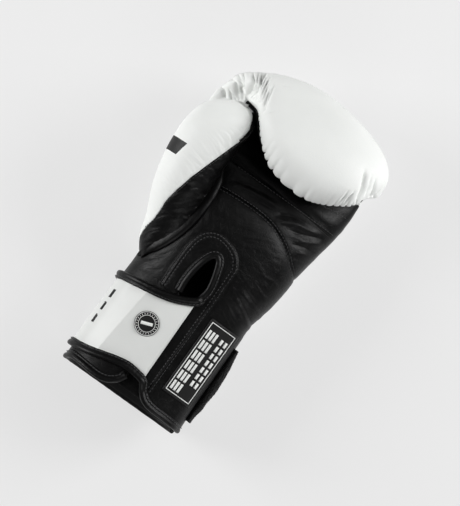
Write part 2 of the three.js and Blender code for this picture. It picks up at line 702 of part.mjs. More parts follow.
const group = new THREE.Group();
group.position.set(0, -REST_Y, 0);
const material = (color, roughness) => new THREE.MeshStandardMaterial({ color, roughness });
const WHITE_LEATHER = material(0xe9ebe8, 0.5);
const BLACK_LEATHER = material(0x17181a, 0.42);
const BLACK_BINDING = material(0x0e0f10, 0.5);
const HOOK_TAPE = material(0x141414, 0.95);
const add = (name, geometry, look) => {
  const mesh = new THREE.Mesh(geometry, look);
  mesh.name = name;
  group.add(mesh);
};

const backOfHand = knucklePad(3 * SCALLOPS, 0, PAD_START / PIVOT_Y, PAD_SPLIT - GAP / PIVOT_Y);
const fist = knucklePad(4 * SCALLOPS, 0, PAD_SPLIT, 3);
add("back_pad", geometryOf(backOfHand.subtract(thumbHollow)), WHITE_LEATHER);
add("knuckle_pad", geometryOf(fist.subtract(thumbHollow)), WHITE_LEATHER);
add("cuff_back", geometryOf(cuffBack(16)), BLACK_LEATHER);
add("palm_heel", geometryOf(palm.intersect(belowSeam(0))), BLACK_LEATHER);
add("palm_upper", geometryOf(palm.subtract(belowSeam(GAP))), BLACK_LEATHER);
add("finger_panel", geometryOf(fingers), BLACK_LEATHER);
const thumbShell = solid(thumbWall(12, (seam) => [seam + 1, 359 + THUMB_UNDER], THUMB_PAD));
const thumbPanel = solid(thumbWall(6, (seam) => [THUMB_UNDER, seam], THUMB_WALL));
add("thumb_shell", geometryOf(without(thumbShell, clearOfHand, clearOfWelt)), WHITE_LEATHER);
add("thumb_panel", geometryOf(without(thumbPanel, clearOfHand, clearOfWelt)), BLACK_LEATHER);
add("thumb_welt", tube(weltPath, WELT_RADIUS, 24), BLACK_BINDING);
add("slot_patch", geometryOf(patch), BLACK_LEATHER);
add("strap", geometryOf(strapSheet()), WHITE_LEATHER);
add("strap_end", geometryOf(strapTab()), HOOK_TAPE);
add("binding_upper", tube(upperPath, BINDING_RADIUS, 56), BLACK_BINDING);
add("binding_lower", tube(lowerPath, BINDING_RADIUS, 40), BLACK_BINDING);
add("binding_back", tube(backPath, BINDING_RADIUS, 36), BLACK_BINDING);
add("tongue", geometryOf(tongue), BLACK_LEATHER);
add("label", geometryOf(label), BLACK_LEATHER);
add("badge", geometryOf(badge), BLACK_LEATHER);

export default group;
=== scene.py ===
"""Leather, lining, bindings and stitching of a left-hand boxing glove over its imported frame.

The glove's main form is one tube that runs up the hand and turns over through half a circle at the
fingers. Every visible piece is a grid of points on that form, or a profile carried along a path on
it, worked out with numpy in millimetres from the cuff's end and put into a mesh in metres.
"""

import bpy
import numpy as np
from mathutils import Matrix, Vector


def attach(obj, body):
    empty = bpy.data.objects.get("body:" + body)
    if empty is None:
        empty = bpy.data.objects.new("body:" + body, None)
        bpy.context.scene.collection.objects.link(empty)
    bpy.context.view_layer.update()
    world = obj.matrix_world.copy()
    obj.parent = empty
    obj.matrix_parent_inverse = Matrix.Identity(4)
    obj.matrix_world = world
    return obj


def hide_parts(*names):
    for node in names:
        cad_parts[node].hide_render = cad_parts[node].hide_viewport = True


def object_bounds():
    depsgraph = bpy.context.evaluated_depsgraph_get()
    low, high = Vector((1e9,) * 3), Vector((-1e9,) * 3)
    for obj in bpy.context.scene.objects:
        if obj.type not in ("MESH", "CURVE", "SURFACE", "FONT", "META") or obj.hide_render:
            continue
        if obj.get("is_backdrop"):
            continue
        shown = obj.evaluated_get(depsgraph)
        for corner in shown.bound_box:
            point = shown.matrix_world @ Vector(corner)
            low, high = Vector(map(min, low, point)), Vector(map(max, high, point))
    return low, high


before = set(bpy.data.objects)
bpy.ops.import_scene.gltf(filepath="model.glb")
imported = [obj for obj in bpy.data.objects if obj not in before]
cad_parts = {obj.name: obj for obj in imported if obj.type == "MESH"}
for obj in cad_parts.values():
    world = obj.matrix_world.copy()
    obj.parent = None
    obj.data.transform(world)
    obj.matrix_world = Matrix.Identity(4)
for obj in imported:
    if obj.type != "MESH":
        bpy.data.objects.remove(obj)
CAD_BOX = [list(corner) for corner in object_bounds()]

bl_info = {
    "name": "Boxing glove",
    "version": (1, 0, 0),
    "blender": (4, 5, 0),
    "location": "View3D > Sidebar > Glove",
    "description": "Dresses the frame of a training glove in leather, bindings and stitches",
    "category": "Object",
}

# Sizes of the form, in millimetres
REST_Y = 205.0
KNUCKLE_REACH = 58.0
PIVOT_Y = 258.0
FIST_LEFT, FIST_RIGHT = 88.0, 81.0
FOLD_HEIGHT = 62.0
FOLD_SLANT = 0.088
CUFF_LEFT, CUFF_RIGHT = 61.0, 56.0
CUFF_BOTTOM = 9.0
PALM_TOP = 83.0
SQUARENESS = 2.5
DOME_OVERHANG = 27.0
SIDE_LAG = 0.056
SHOULDER = 0.54
BACK_PAD, SIDE_PAD, TIP_PAD = 25.0, 13.0, 9.0
CUFF_WALL, PALM_WALL, FINGER_WALL = 7.0, 3.5, 2.5
THUMB_PAD, THUMB_WALL = 8.0, 3.0
PAD_START = 103.0
SEAM_UPPER = 222.0
STRAP_START, STRAP_WIDTH = 15.2, 71.4
HEM = 3.6
SCALLOPS = 25
PAD_ROUND = 273.0
CORNER_X, CORNER_DIP = 68.0, 4.4
FOLD_DEPTH = 3.4
GAP = 0.35
TAB_BULGE = 5.5

# Hand sections: share of the way to the fold, left, right, back, widest line, palm, squareness
HAND_ROWS = np.array([
    [0.0, 0.0, 0.04, 0.0, 0.71, 0.952, 0.96],
    [0.388, 0.0, -0.02, 0.15, 0.71, 0.964, 0.96],
    [0.45, 0.03, -0.04, 0.4, 0.7, 0.982, 1.0],
    [0.543, 0.22, 0.14, 0.85, 0.68, 1.0, 1.04],
    [0.659, 0.62, 0.26, 1.15, 0.65, 0.985, 1.08],
    [0.775, 0.87, 0.44, 1.3, 0.62, 0.92, 1.12],
    [0.872, 0.98, 0.6, 1.32, 0.6, 0.84, 1.2],
    [0.95, 1.0, 0.66, 1.2, 0.6, 0.745, 1.5],
])
# Fist sections: turn in degrees, left, right, reach in millimetres, widest line, inner radius
FIST_ROWS = np.array([
    [0, 0.992, 0.888, 63.22, 0.42, 0.125],
    [30, 0.954, 0.888, 62.35, 0.42, 0.125],
    [60, 0.932, 0.926, 59.74, 0.42, 0.13],
    [90, 0.91, 0.984, 58.0, 0.42, 0.14],
    [120, 0.833, 0.979, 58.57, 0.45, 0.14],
    [150, 0.69, 0.921, 59.14, 0.48, 0.15],
    [180, 0.532, 0.865, 58.88, 0.52, 0.18],
])
# Side seams: station, angle on the little-finger side, angle on the thumb side
SEAM_ROWS = np.array([
    [0.0, 76, -94], [0.4, 76, -94], [0.8, 76, -100], [0.94, 74, -118], [1.0, 78, -138],
    [1.1, 112, -142], [1.3, 132, -138], [1.6, 134, -136], [1.7, 128, -132], [1.85, 118, -116],
    [2.0, 90, -90],
])
# Thumb: share of the way to its end, x, z, width, depth, angle of the seam
THUMB_END, THUMB_HALF, THUMB_UNDER = 268.0, 26.0, 40.0
THUMB_BAND = np.array([
    [-63, 264], [-57.5, 263.4], [-52, 261], [-48, 257], [-46.2, 252], [-46, 245], [-47, 238],
])
THUMB_ROWS = np.array([
    [0.4, -0.55, 0.86, 0.33, 0.48, 280], [0.46, -0.6, 0.9, 0.6, 0.66, 256],
    [0.53, -0.62, 0.98, 0.76, 0.82, 216], [0.61, -0.69, 1.08, 0.89, 0.94, 192],
    [0.7, -0.75, 1.18, 0.97, 1.02, 170], [0.79, -0.775, 1.27, 1.0, 1.02, 146],
    [0.87, -0.77, 1.33, 0.99, 0.94, 122], [0.935, -0.725, 1.35, 0.89, 0.8, 100],
    [0.975, -0.675, 1.35, 0.56, 0.58, 92], [0.994, -0.65, 1.35, 0.28, 0.3, 90],
    [1.0, -0.645, 1.35, 0.0, 0.0, 90],
])
# Strap: angle round the cuff, shares of its width by which the two edges lie above its ends
STRAP_EDGES = np.array([
    [175, 0.103, 0.272], [181, 0.14, 0.185], [185, 0.146, 0.143], [193, 0.126, 0.102],
    [203, 0.087, 0.073], [222, 0.03, 0.042], [241, 0.006, 0.02], [270, 0.0, 0.0],
    [315, 0.006, -0.003], [360, 0.025, 0.006], [420, 0.053, 0.034],
])
# Lines over the palm as shares across and along
SLOT_EDGE = np.array([
    [0.168, 0.425], [0.195, 0.459], [0.165, 0.495], [0.111, 0.536], [0.071, 0.56],
    [0.013, 0.569], [-0.057, 0.557], [-0.125, 0.523], [-0.163, 0.482], [-0.179, 0.44],
    [-0.172, 0.4],
])
SLIT_THUMB_SIDE = np.array([[-0.03, 0.345], [-0.03, 0.11]])
SLIT_FINGER_SIDE = np.array([[0.155, 0.08], [0.08, 0.105], [0.09, 0.388], [0.147, 0.411]])
CUFF_EDGE_FINGER_SIDE = np.array([
    [0.223, 0.064], [0.29, 0.048], [0.374, 0.037], [0.51, 0.031], [0.714, 0.03],
    [0.883, 0.028],
])
CUFF_EDGE_THUMB_SIDE = np.array([
    [-0.096, 0.073], [-0.16, 0.049], [-0.245, 0.032], [-0.356, 0.0215], [-0.508, 0.019],
    [-0.729, 0.023], [-0.915, 0.024],
])
WELT_PATH = np.array([
    [-0.962, 0.413], [-0.907, 0.4355], [-0.795, 0.4705], [-0.676, 0.5135], [-0.576, 0.558],
    [-0.487, 0.6045], [-0.419, 0.6585], [-0.392, 0.712], [-0.403, 0.761], [-0.439, 0.802],
])
HEEL_SEAM = np.array([
    [-1.11, 0.722], [-0.696, 0.733], [-0.284, 0.758], [0.049, 0.77], [0.301, 0.771],
    [0.489, 0.759], [0.685, 0.733], [0.863, 0.699], [1.0, 0.672],
])
PATCH_OUTLINE = np.array([
    [-0.477, 0.382], [-0.462, 0.479], [-0.395, 0.56], [-0.27, 0.6075], [-0.104, 0.6325],
    [0.071, 0.633], [0.226, 0.618], [0.327, 0.585], [0.356, 0.538], [0.355, 0.066],
])
PATCH_LEG = np.array([[0.13, 0.07], [0.13, 0.2], [0.13, 0.3], [0.13, 0.386], [0.16, 0.42]])
PATCH_LEG_END = np.array([[-0.19, 0.382]])
PATCH_STITCHES = 1.6, 4.8
BELOW_CUFF = np.array([[-1.2, 0.022], [-1.7, -0.08], [1.7, -0.08], [1.4, 0.025]])
LABEL_MIDDLE, LABEL_SIZE = (0.695, 0.252), (28.5, 74.5)
BADGE_MIDDLE, BADGE_RADIUS = (-0.284, 0.25), 11.0
TONGUE_MIDDLE, TONGUE_SIZE = (0.098, 0.153), (41.0, 61.0)

# Facings in millimetres: heights over the palm, and the printed frame, rings, spokes and bars
LABEL_PRINT = 1.2
FRAME_MARGIN, FRAME_WIDTH = (2.2, 2.4), 0.7
# Columns of bars: side that they are measured from, near and far edge, room at both ends, pitch
BAR_COLUMNS = (
    (-1, 2.2, 4.4, 2.6, 2.6, 10.4), (-1, 5.6, 7.8, 2.6, 2.6, 10.4), (-1, 9.0, 11.2, 2.6, 2.6, 10.4),
    (1, -9.0, -6.6, 14.0, 2.6, 7.1), (1, -4.8, -2.4, 14.0, 2.6, 7.1),
)
BAR_GAP = 1.9
BADGE_LIFT, BADGE_THICK = 2.6, 0.8
BADGE_RINGS = ((10.0, 10.45), (7.1, 7.5))
BADGE_SPOKES, SPOKE_TURN = (8.1, 9.3, 0.45), 15
BADGE_BAR, BADGE_BAR_TURN = (-5.2, 5.2, -1.4, 1.4), 20
PRINT_THICK = 0.12

# Strap: lengths by which its two ends are rounded, then its bars: place and half width across,
# pitch and length along, middle and half length of their row, and lowest height
STRAP_ROUNDS = 355.25, 340.0
BAR_X, BAR_HALF = -58.4, 1.1
BAR_PITCH, BAR_LENGTH = 13, 8
BAR_MIDDLE, BAR_REACH = 56, 18
BAR_FLOOR = 40

# Thumb's stripe: middle and half width in shares, along and round it
STRIPE_ALONG, STRIPE_ROUND = (0.757, 0.025), (0.38, 0.16)

# Sections of a binding, in halves of its width and height, and of the welt, in millimetres
BINDING_RING = np.array([
    [-0.95, -0.5], [-1, 0.3], [-0.72, 0.86], [-0.2, 1.0], [0.3, 0.8], [0.6, 0.52],
    [0.95, 0.56], [1.3, 0.42], [1.42, -0.1], [1.2, -0.7], [0, -0.9],
])
WELT_RING = np.array([
    [2.6, -1.5], [3.2, 0.6], [2.2, 2.3], [0.2, 2.9], [-2.2, 2.5], [-4.2, 1.8], [-5.4, 1.4],
    [-6.4, 1.7], [-7.3, 1.3], [-7.8, 0.2], [-7.2, -1.5], [2.2, -2.2],
])

# Rows of stitches on the palm: curve, distances to its left, height over the leather
STITCH_ROWS = (
    ("heel seam", (-1.6, 1.3), 0.1), ("cross stitch", (0.0,), 0.1), ("tip stitch", (0.0,), 0.1),
    ("patch", [-row for row in PATCH_STITCHES], 0.45), ("welt", (5.4,), 2.3),
)

# Grids: steps up to each station of the knuckle pad, columns and rows of the others
KNUCKLE_STEPS = ((1, 50), (1.3, 35), (2, 165), (3, 50))
KNUCKLE_COLUMNS, HOLLOW_STEP = 240, 5
HEEL_GRID, UPPER_GRID, FINGER_GRID = (214, 210), (60, 210), (150, 130)
THUMB_GRID, THUMB_PANEL_GRID = (290, 130), (170, 80)
PATCH_STEPS, PATCH_COLUMNS = 300, 30
WELT_STEPS = 130

# Leathers: colour, its shares in dark and light spots, lowest and highest roughness, cell size in
# millimetres, weight of the creases, strength of the grain, specular level
LEATHERS = (
    ("white_hide", "white", 0.96, 0.985, 0.42, 0.55, 1.0, 0.3, 0.5, 0.5),
    ("black_hide", "black", 0.6, 1.0, 0.32, 0.46, 1.0, 0.7, 0.55, 0.2),
    ("black_binding", "black", 0.6, 1.0, 0.33, 0.45, 0.8, 0.4, 0.4, 0.24),
    ("printed_leather", "black", 0.7, 1.0, 0.45, 0.6, 0.7, 0.1, 0.2, 0.4),
    ("white_print", "white", 0.92, 1.0, 0.5, 0.6, 0.6, 0.0, 0.15, 0.4),
    # The strap's leather is the white leather made darker overall: painted shade on the strap
    ("shaded_strap_hide", "white", 0.8, 0.84, 0.34, 0.44, 0.8, 0.08, 0.2, 0.5),
)

# Stage in metres: the glove's turn in the picture, the point looked at, and the camera
PICTURE_RIGHT, PICTURE_UP = (0.8141, 0.5807, 0), (-0.5807, 0.8141, 0)
TARGET = (0.0039, -0.0488, 0.062)
CAMERA_DISTANCE, CAMERA_LEAN = 4.5, 2.0
PICTURE_HEIGHT, SENSOR_HEIGHT = 0.43516, 24.0
FLOOR_HALF = 4
# Strength of the floor's own glow, painted light that fills in the glove's shadow, and of the
# world's light
FLOOR_GLOW, WORLD_GLOW = 0.6, 0.07
# Lights: right, up and above the point looked at, size, share of the side lights' power
LIGHTS = (
    ("left_light", -1.5, 0.6, 0.8, 0.8, 0.95), ("right_light", 1.55, 0.3, 0.85, 0.8, 0.92),
    ("high_light", 0.85, 0.5, 1.6, 0.7, 0.1), ("low_light", 0.1, -1.6, 0.9, 0.9, 0.3),
)

# Folds of the leather seen from above: depth, width, then x and y of points along each
FIST_FOLDS = (
    (1.5, 1.1, (-84, 282), (-77.1, 276.2), (-71.2, 271.6), (-66.5, 268.8)),
    (1.3, 1.1, (-86.6, 270.6), (-78.4, 265.1), (-72.2, 260.8)),
    (1.0, 0.9, (-84.7, 262.9), (-76.5, 258)),
    (0.9, 0.8, (-78.8, 270.9), (-73.9, 267.1), (-68.3, 263.4)),
    (0.8, 0.7, (-73.2, 268.4), (-66.3, 266)),
    (1.2, 1.0, (-80.4, 287), (-75.2, 280.8), (-69.3, 274.2), (-64.4, 270.6)),
    (1.2, 0.9, (-76.8, 290), (-73.9, 283.4), (-69.3, 276.9), (-65.2, 271.9)),
    (1.7, 1.2, (-70.6, 295.2), (-67.3, 288), (-65.4, 280.8), (-62, 272.6)),
    (1.2, 0.8, (-67.2, 299.1), (-64.7, 288.6), (-63.4, 280.8), (-61, 273.2)),
    (1.7, 1.0, (-64.6, 301.1), (-62.7, 291.9), (-61.8, 283.4), (-59, 273.9)),
    (1.6, 1.0, (-60.5, 303.7), (-61.4, 297.1), (-60.8, 288.6), (-59.2, 280.8), (-56.8, 273.9)),
    (1.0, 0.8, (-58.5, 298.8), (-58.2, 288.6), (-56.9, 280.8), (-54.5, 273.9)),
    (1.2, 0.8, (-55.9, 298.8), (-55.6, 288.6), (-54.2, 280.8), (-52.5, 274.6)),
    (1.1, 0.8, (-53.6, 293.5), (-52.3, 283.4), (-49.9, 273.9)),
    (0.9, 0.8, (-50.3, 290.3), (-49, 280.8), (-46, 271.9)),
    (0.8, 2.0, (-49.5, 297), (-47.5, 286), (-46, 278), (-43, 267)),
    (0.35, 0.7, (-43.1, 297.1), (-39.9, 300.4), (-36.9, 302)),
    (0.25, 0.5, (-34.6, 277.5), (-41.2, 267)),
    (1.6, 1.3, (57, 279), (62, 270.5), (65.6, 262.5), (67.2, 252)),
    (0.9, 1.1, (72.5, 295), (78, 286), (80.5, 276)),
    (0.6, 0.8, (64, 279), (68.2, 270.5), (70, 262)),
    (1.1, 0.9, (69.5, 278), (73.6, 270), (73.8, 262), (70.5, 254)),
    (0.9, 0.8, (79, 277), (77.5, 268), (73.5, 258)),
    (0.8, 0.9, (60, 258), (59.8, 252), (58.6, 245)),
    (0.5, 0.7, (55, 256), (55.4, 250), (54.4, 243)),
)
PALM_FOLDS = (
    (1.0, 1.5, (17, 204.5), (24, 210), (34, 213.5), (44, 215)),
    (-1.1, 2.4, (22, 202), (34, 208.5), (47, 211.5), (56, 213)),
    (1.1, 1.5, (34, 201), (45, 204.5), (55, 209.5), (63, 213)),
    (-1.2, 2.4, (44, 198.5), (54, 202.5), (62, 207), (66, 210)),
    (1.2, 1.4, (42, 192.5), (52, 196.5), (60, 198), (66, 201)),
    (-0.9, 2.0, (50, 189.5), (58, 192), (66, 194)),
    (0.8, 1.3, (52, 184.5), (59, 186.5), (66, 187)),
    (0.8, 1.6, (-33, 207), (-22, 211), (-8, 214), (6, 215.5)),
    (-0.8, 2.4, (-32, 203.5), (-18, 208), (0, 211), (14, 212)),
    (0.6, 1.4, (-14, 203), (0, 206), (12, 207.5)),
    (1.5, 1.5, (34, 129), (41, 125), (48, 121.3), (57, 115.5)),
    (-1.2, 2.2, (33, 124.5), (42, 120), (50, 115.5), (57, 111)),
    (0.9, 1.5, (31, 138.5), (40, 135.2), (48, 132.8), (60, 131)),
    (-0.7, 2.4, (33, 133.5), (42, 130), (52, 127), (60, 126)),
    (0.9, 1.6, (29, 117), (37, 112), (46, 108)),
    (0.6, 1.6, (38, 148), (48, 145), (60, 144)),
    (0.8, 1.8, (-62, 104), (-52, 110), (-44, 118), (-38, 128)),
    (0.5, 1.8, (-50, 100), (-40, 106), (-34, 114)),
)

# Fine creases: height, then middle and radii of their spot, then heading in degrees, pitch, length
# and seed
PALM_CREASES = (
    (0.55, (45, 206, 26, 13), (17, 3.6, 20, 1)),
    (0.5, (5, 210, 42, 9), (8, 3.5, 26, 2)),
    (0.6, (40, 122, 22, 30), (-26, 3.4, 20, 4)),
    (0.25, (-45, 108, 22, 18), (32, 5, 24, 5)),
    (0.5, (50, 160, 20, 24), (2, 3.2, 16, 6)),
    (0.35, (12, 178, 30, 20), (28, 2.6, 12, 11)),
    (0.5, (-25, 175, 26, 20), (-58, 3.0, 14, 7)),
)
PATCH_CREASES = (
    (0.4, (-18, 148, 12, 14), (62, 3.6, 14, 9)),
    (0.3, (-20, 125, 8, 20), (5, 3.2, 12, 10)),
)

LATTICE = np.random.default_rng(11).random((64, 64))


# Curves and noise

def column(rows, number, at):
    """A column of a table at other keys: a cubic through the rows, sloped by their neighbours."""
    keys, values = rows[:, 0], rows[:, number]
    ends = np.arange(len(keys))
    before, after = np.maximum(ends - 1, 0), np.minimum(ends + 1, len(keys) - 1)
    slopes = (values[after] - values[before]) / (keys[after] - keys[before])
    i = np.searchsorted(keys[1:-1], at, side="left")
    span = keys[i + 1] - keys[i]
    t = np.clip((at - keys[i]) / span, 0, 1)
    start = (2 * t**3 - 3 * t**2 + 1) * values[i] + (t**3 - 2 * t**2 + t) * span * slopes[i]
    return start + (3 * t**2 - 2 * t**3) * values[i + 1] + (t**3 - t**2) * span * slopes[i + 1]


def power(value, exponent):
    """The value's size to an exponent, with the value's sign."""
    return np.sign(value) * np.abs(value) ** exponent


def mix(low, high, share):
    """low at share 0, high at share 1."""
    return low + (high - low) * share


def fade(edge, far, at):
    """0 up to edge, 1 from far on, and a smooth step between them."""
    t = np.clip((at - edge) / (far - edge), 0, 1)
    return t * t * (3 - 2 * t)


def drift(u, v, seed):
    """Smooth random height from -1 to 1 that changes over one unit of u or v."""
    u, v = np.broadcast_arrays(u + 17.3 * seed, v + 9.1 * seed)
    i, j = np.floor(u).astype(int), np.floor(v).astype(int)
    s, t = u - i, v - j
    s, t = s * s * (3 - 2 * s), t * t * (3 - 2 * t)
    corner = lambda a, b: LATTICE[a % 64, b % 64]
    near = corner(i, j) * (1 - s) + corner(i + 1, j) * s
    far = corner(i, j + 1) * (1 - s) + corner(i + 1, j + 1) * s
    return 2 * (near * (1 - t) + far * t) - 1


def smooth_line(points, count):
    """A path of even steps on a smooth curve through the points, each a cubic of its place."""
    points = np.asarray(points, float)
    steps = np.sqrt(np.linalg.norm(np.diff(points, axis=0), axis=1))
    rows = np.column_stack([np.concatenate([[0], np.cumsum(steps)]), points])
    dense = np.linspace(0, rows[-1, 0], 24 * len(points))
    curve = np.stack([column(rows, k + 1, dense) for k in range(points.shape[1])], -1)
    length = np.concatenate([[0], np.cumsum(np.linalg.norm(np.diff(curve, axis=0), axis=1))])
    even = np.linspace(0, length[-1], count)
    return np.stack([np.interp(even, length, curve[:, k]) for k in range(curve.shape[1])], -1)


def from_line(x, y, line):
    """Distance of points to a line of points, and on which side they lie: 1 left of its run."""
    a, b = line[:-1], line[1:]
    run = b - a
    p = np.stack([np.ravel(x), np.ravel(y)], -1)[:, None, :] - a[None]
    t = np.clip((p * run).sum(-1) / (run * run).sum(-1), 0, 1)
    away = p - t[..., None] * run
    far = np.sqrt((away * away).sum(-1))
    near = far.argmin(1)
    rows = np.arange(len(near))
    side = np.sign(run[near, 0] * p[rows, near, 1] - run[near, 1] * p[rows, near, 0])
    return far[rows, near].reshape(np.shape(x)), side.reshape(np.shape(x))


def folded(x, y, folds):
    """Depth of the folds at points seen from above. Each is deepest half way along it. A valley
    falls off beside its line as a power of e, so its bottom is sharp, and a ridge, where the
    depth is negative, as a bell curve."""
    depth = np.zeros(np.shape(x))
    for deep, width, *points in folds:
        line = smooth_line(points, 24)
        low, high = line.min(0) - 5 * width, line.max(0) + 5 * width
        near = (x > low[0]) & (x < high[0]) & (y > low[1]) & (y < high[1])
        if near.any():
            far = from_line(x[near], y[near], line)[0]
            ends = [np.hypot(x[near] - end[0], y[near] - end[1]) for end in (line[0], line[-1])]
            taper = mix(0.35, 1.0, fade(0, 6.0, np.minimum(*ends)))
            beside = np.exp(-far / width) if deep > 0 else np.exp(-((far / width) ** 2))
            depth[near] += deep * taper * beside
    return depth


def inside(x, y, outline):
    """Whether points lie inside an outline: an upright ray crosses its edges an odd time."""
    a, b = outline, np.roll(outline, -1, 0)
    px, py = np.ravel(x)[:, None], np.ravel(y)[:, None]
    spans = (a[:, 0] > px) != (b[:, 0] > px)
    width = np.where(b[:, 0] == a[:, 0], 1, b[:, 0] - a[:, 0])
    height = a[:, 1] + (px - a[:, 0]) * (b[:, 1] - a[:, 1]) / width
    return ((spans & (py < height)).sum(1) % 2 == 1).reshape(np.shape(x))


# The form

def sections():
    """The tables of the hand and the fist in millimetres, by station."""
    hand, fist = HAND_ROWS, FIST_ROWS
    hand_side = np.stack([
        hand[:, 0],
        mix(CUFF_LEFT, FIST_LEFT, hand[:, 1]),
        mix(CUFF_RIGHT, FIST_RIGHT, hand[:, 2]),
        FOLD_HEIGHT - CUFF_BOTTOM * (1 - hand[:, 3]),
        FOLD_HEIGHT * (1 - hand[:, 4]),
        FOLD_HEIGHT - PALM_TOP * hand[:, 5],
        SQUARENESS * hand[:, 6],
    ], -1)
    fist_side = np.stack([
        1 + fist[:, 0] / 180,
        FIST_LEFT * fist[:, 1],
        FIST_RIGHT * fist[:, 2],
        fist[:, 3],
        KNUCKLE_REACH * fist[:, 4],
        KNUCKLE_REACH * fist[:, 5],
        np.full(len(fist), SQUARENESS * 1.8),
    ], -1)
    return np.concatenate([hand_side, fist_side])


SECTIONS = sections()


def fold_line(x):
    """Distance of the finger fold from the cuff's end, nearer on the little-finger side."""
    return PIVOT_Y - FOLD_SLANT * x


def section(station, side=0.0, back=0.0, palm=0.0):
    """Middle, half width, outer, widest and inner radius and squareness of a section."""
    left, right, outer, wide, inner, square = (
        column(SECTIONS, k, np.minimum(station, 2.0)) for k in range(1, 7)
    )
    left, right = left - side, right - side
    return (right - left) / 2, (right + left) / 2, outer - back, wide, inner + palm, square


def on_form(station, angle, side=0.0, back=0.0, palm=0.0, tip=0.0, wave=0.0):
    """A point of the form.

    The section is a rounded square round the angle, 0 at the back and 180 on the palm. Up to
    station 1 it lies square to the hand, up to 2 it turns round the finger fold through half a
    circle, and up to 3 its two halves come together over the fingertips. The turn is nearer the
    fold on the index-finger side, where the knuckles fall away.
    """
    station, angle = np.broadcast_arrays(np.asarray(station, float), np.asarray(angle, float))
    middle, half, outer, wide, inner, square = section(station, side, back, palm)
    turn = np.radians(angle)
    cos = np.cos(turn)
    x = middle + half * power(np.sin(turn), 2 / SQUARENESS)
    reach = np.where(cos >= 0, outer - wide, wide - inner)
    r = wide + reach * power(cos, 2 / np.where(cos >= 0, SQUARENESS, square))
    rise = np.sin(np.pi * np.clip(station - 1, 0, 1))
    r = mix(r, inner, SHOULDER * rise * np.clip(-x / FIST_LEFT, 0, 1) ** 1.75)
    ends = np.abs((x - middle) / half) ** 2.5
    rounds = np.pi * np.clip(station - 1, 0, 1) * (1 - SIDE_LAG * ends)
    y_hand, z_hand = station * fold_line(x), FOLD_HEIGHT - r
    y_fold, z_fold = fold_line(x) + r * np.sin(rounds), FOLD_HEIGHT - r * np.cos(rounds)
    over = np.pi / 2 * np.clip(station - 2, 0, 1)
    hang = (DOME_OVERHANG - tip + wave) * np.maximum(0, 1 - ends)
    y_tip = y_fold - hang * np.sin(over)
    z_tip = mix(FOLD_HEIGHT + wide, z_fold, np.cos(over))
    on_hand, on_fold = station <= 1, station <= 2
    y = np.where(on_hand, y_hand, np.where(on_fold, y_fold, y_tip))
    z = np.where(on_hand, z_hand, np.where(on_fold, z_fold, z_tip))
    return np.stack(np.broadcast_arrays(x, y, z), -1)


def lifted(height):
    """Insets that put a point a height outside the form."""
    return {"side": -height, "back": -height, "palm": -height}


def over_palm(rows):
    """Shares across and along as x and y, seen from above."""
    rows = np.asarray(rows, float)
    middle, half = section(np.maximum(rows[..., 1], 0))[:2]
    x = middle + half * rows[..., 0]
    return np.stack([x, rows[..., 1] * fold_line(x)], -1)


def palm_angle(x, station, height=0.0):
    """Angle round the section whose palm side lies over x."""
    middle, half = section(station, side=-height)[:2]
    share = np.clip((x - middle) / half, -1, 1)
    return 180 - np.degrees(np.arcsin(power(share, SQUARENESS / 2)))


def on_palm(x, y, height=0.0):
    """The point a height over the palm's side of the form, over x and y."""
    x, y = np.asarray(x, float), np.asarray(y, float)
    station = y / fold_line(x)
    return on_form(station, palm_angle(x, station, height), **lifted(height))


def round_cuff(angle, y, height=0.0):
    """The point a height over the cuff, at an angle and a distance from the cuff's end."""
    x = on_form(y / PIVOT_Y, angle, **lifted(height))[..., 0]
    return on_form(y / fold_line(x), angle, **lifted(height))


def seam_angles(station):
    """Angles of the two side seams, thumb side first."""
    at = np.minimum(station, 2.0)
    return column(SEAM_ROWS, 2, at), column(SEAM_ROWS, 1, at)


def hollow(station):
    """Insets of the hollow for the hand, from the cuff's wall to the fist's pads."""
    start = PAD_START / PIVOT_Y
    grown = fade(start - 0.05, start + 0.3, station)
    return {
        "side": mix(CUFF_WALL, SIDE_PAD, grown),
        "back": mix(CUFF_WALL, BACK_PAD, grown),
        "palm": PALM_WALL + GAP,
        "tip": TIP_PAD,
    }


def on_thumb(along, angle, height=0.0):
    """A point of the thumb: rounded sections along its bent middle line, lifted by a height."""
    along, angle = np.broadcast_arrays(np.asarray(along, float), np.asarray(angle, float))
    turn = np.radians(angle)
    scale = THUMB_HALF + height
    x = column(THUMB_ROWS, 1, along) * FIST_LEFT
    x = x + column(THUMB_ROWS, 3, along) * scale * power(np.sin(turn), 0.9)
    z = column(THUMB_ROWS, 2, along) * FOLD_HEIGHT
    z = z - column(THUMB_ROWS, 4, along) * scale * power(np.cos(turn), 0.9)
    return np.stack([x, along * (THUMB_END + height), z], -1)


def depth_inside(points, inset):
    """Whether points lie inside the form taken in by an inset."""
    x, y, z = points[..., 0], points[..., 1], points[..., 2]
    fold = fold_line(x)
    rise, front = FOLD_HEIGHT - z, y - fold
    on_hand = y < fold
    turned = np.arctan2(front, rise)
    turned = np.where(turned < -0.5, turned + 2 * np.pi, turned)
    station = np.where(on_hand, y / fold, 1 + np.clip(turned, 0, np.pi) / np.pi)
    r = np.where(on_hand, rise, np.hypot(front, rise))
    middle, half, outer, wide, inner, square = section(station, inset, inset, inset)
    ends = np.abs((x - middle) / half) ** SQUARENESS
    back = np.abs((r - wide) / (outer - wide)) ** SQUARENESS
    palm = np.abs((wide - r) / np.maximum(wide - inner, 1)) ** square
    return ends + np.where(r >= wide, back, palm) < 1


# Meshes

def normals(grid):
    """Unit normals of a grid of points: the cross product of its steps both ways."""
    along = np.gradient(grid, axis=0)
    across = np.gradient(grid, axis=1)
    n = np.cross(across, along)
    size = np.linalg.norm(n, axis=-1, keepdims=True)
    return n / np.maximum(size, 1e-9)


def cells(rows, cols, wrap=False):
    """Corner numbers of the cells of a grid of points, row by row."""
    i, j = np.meshgrid(np.arange(rows - 1), np.arange(cols if wrap else cols - 1), indexing="ij")
    a, b = i * cols + j, i * cols + (j + 1) % cols
    return np.stack([a, b, b + cols, a + cols], -1).reshape(-1, 4)


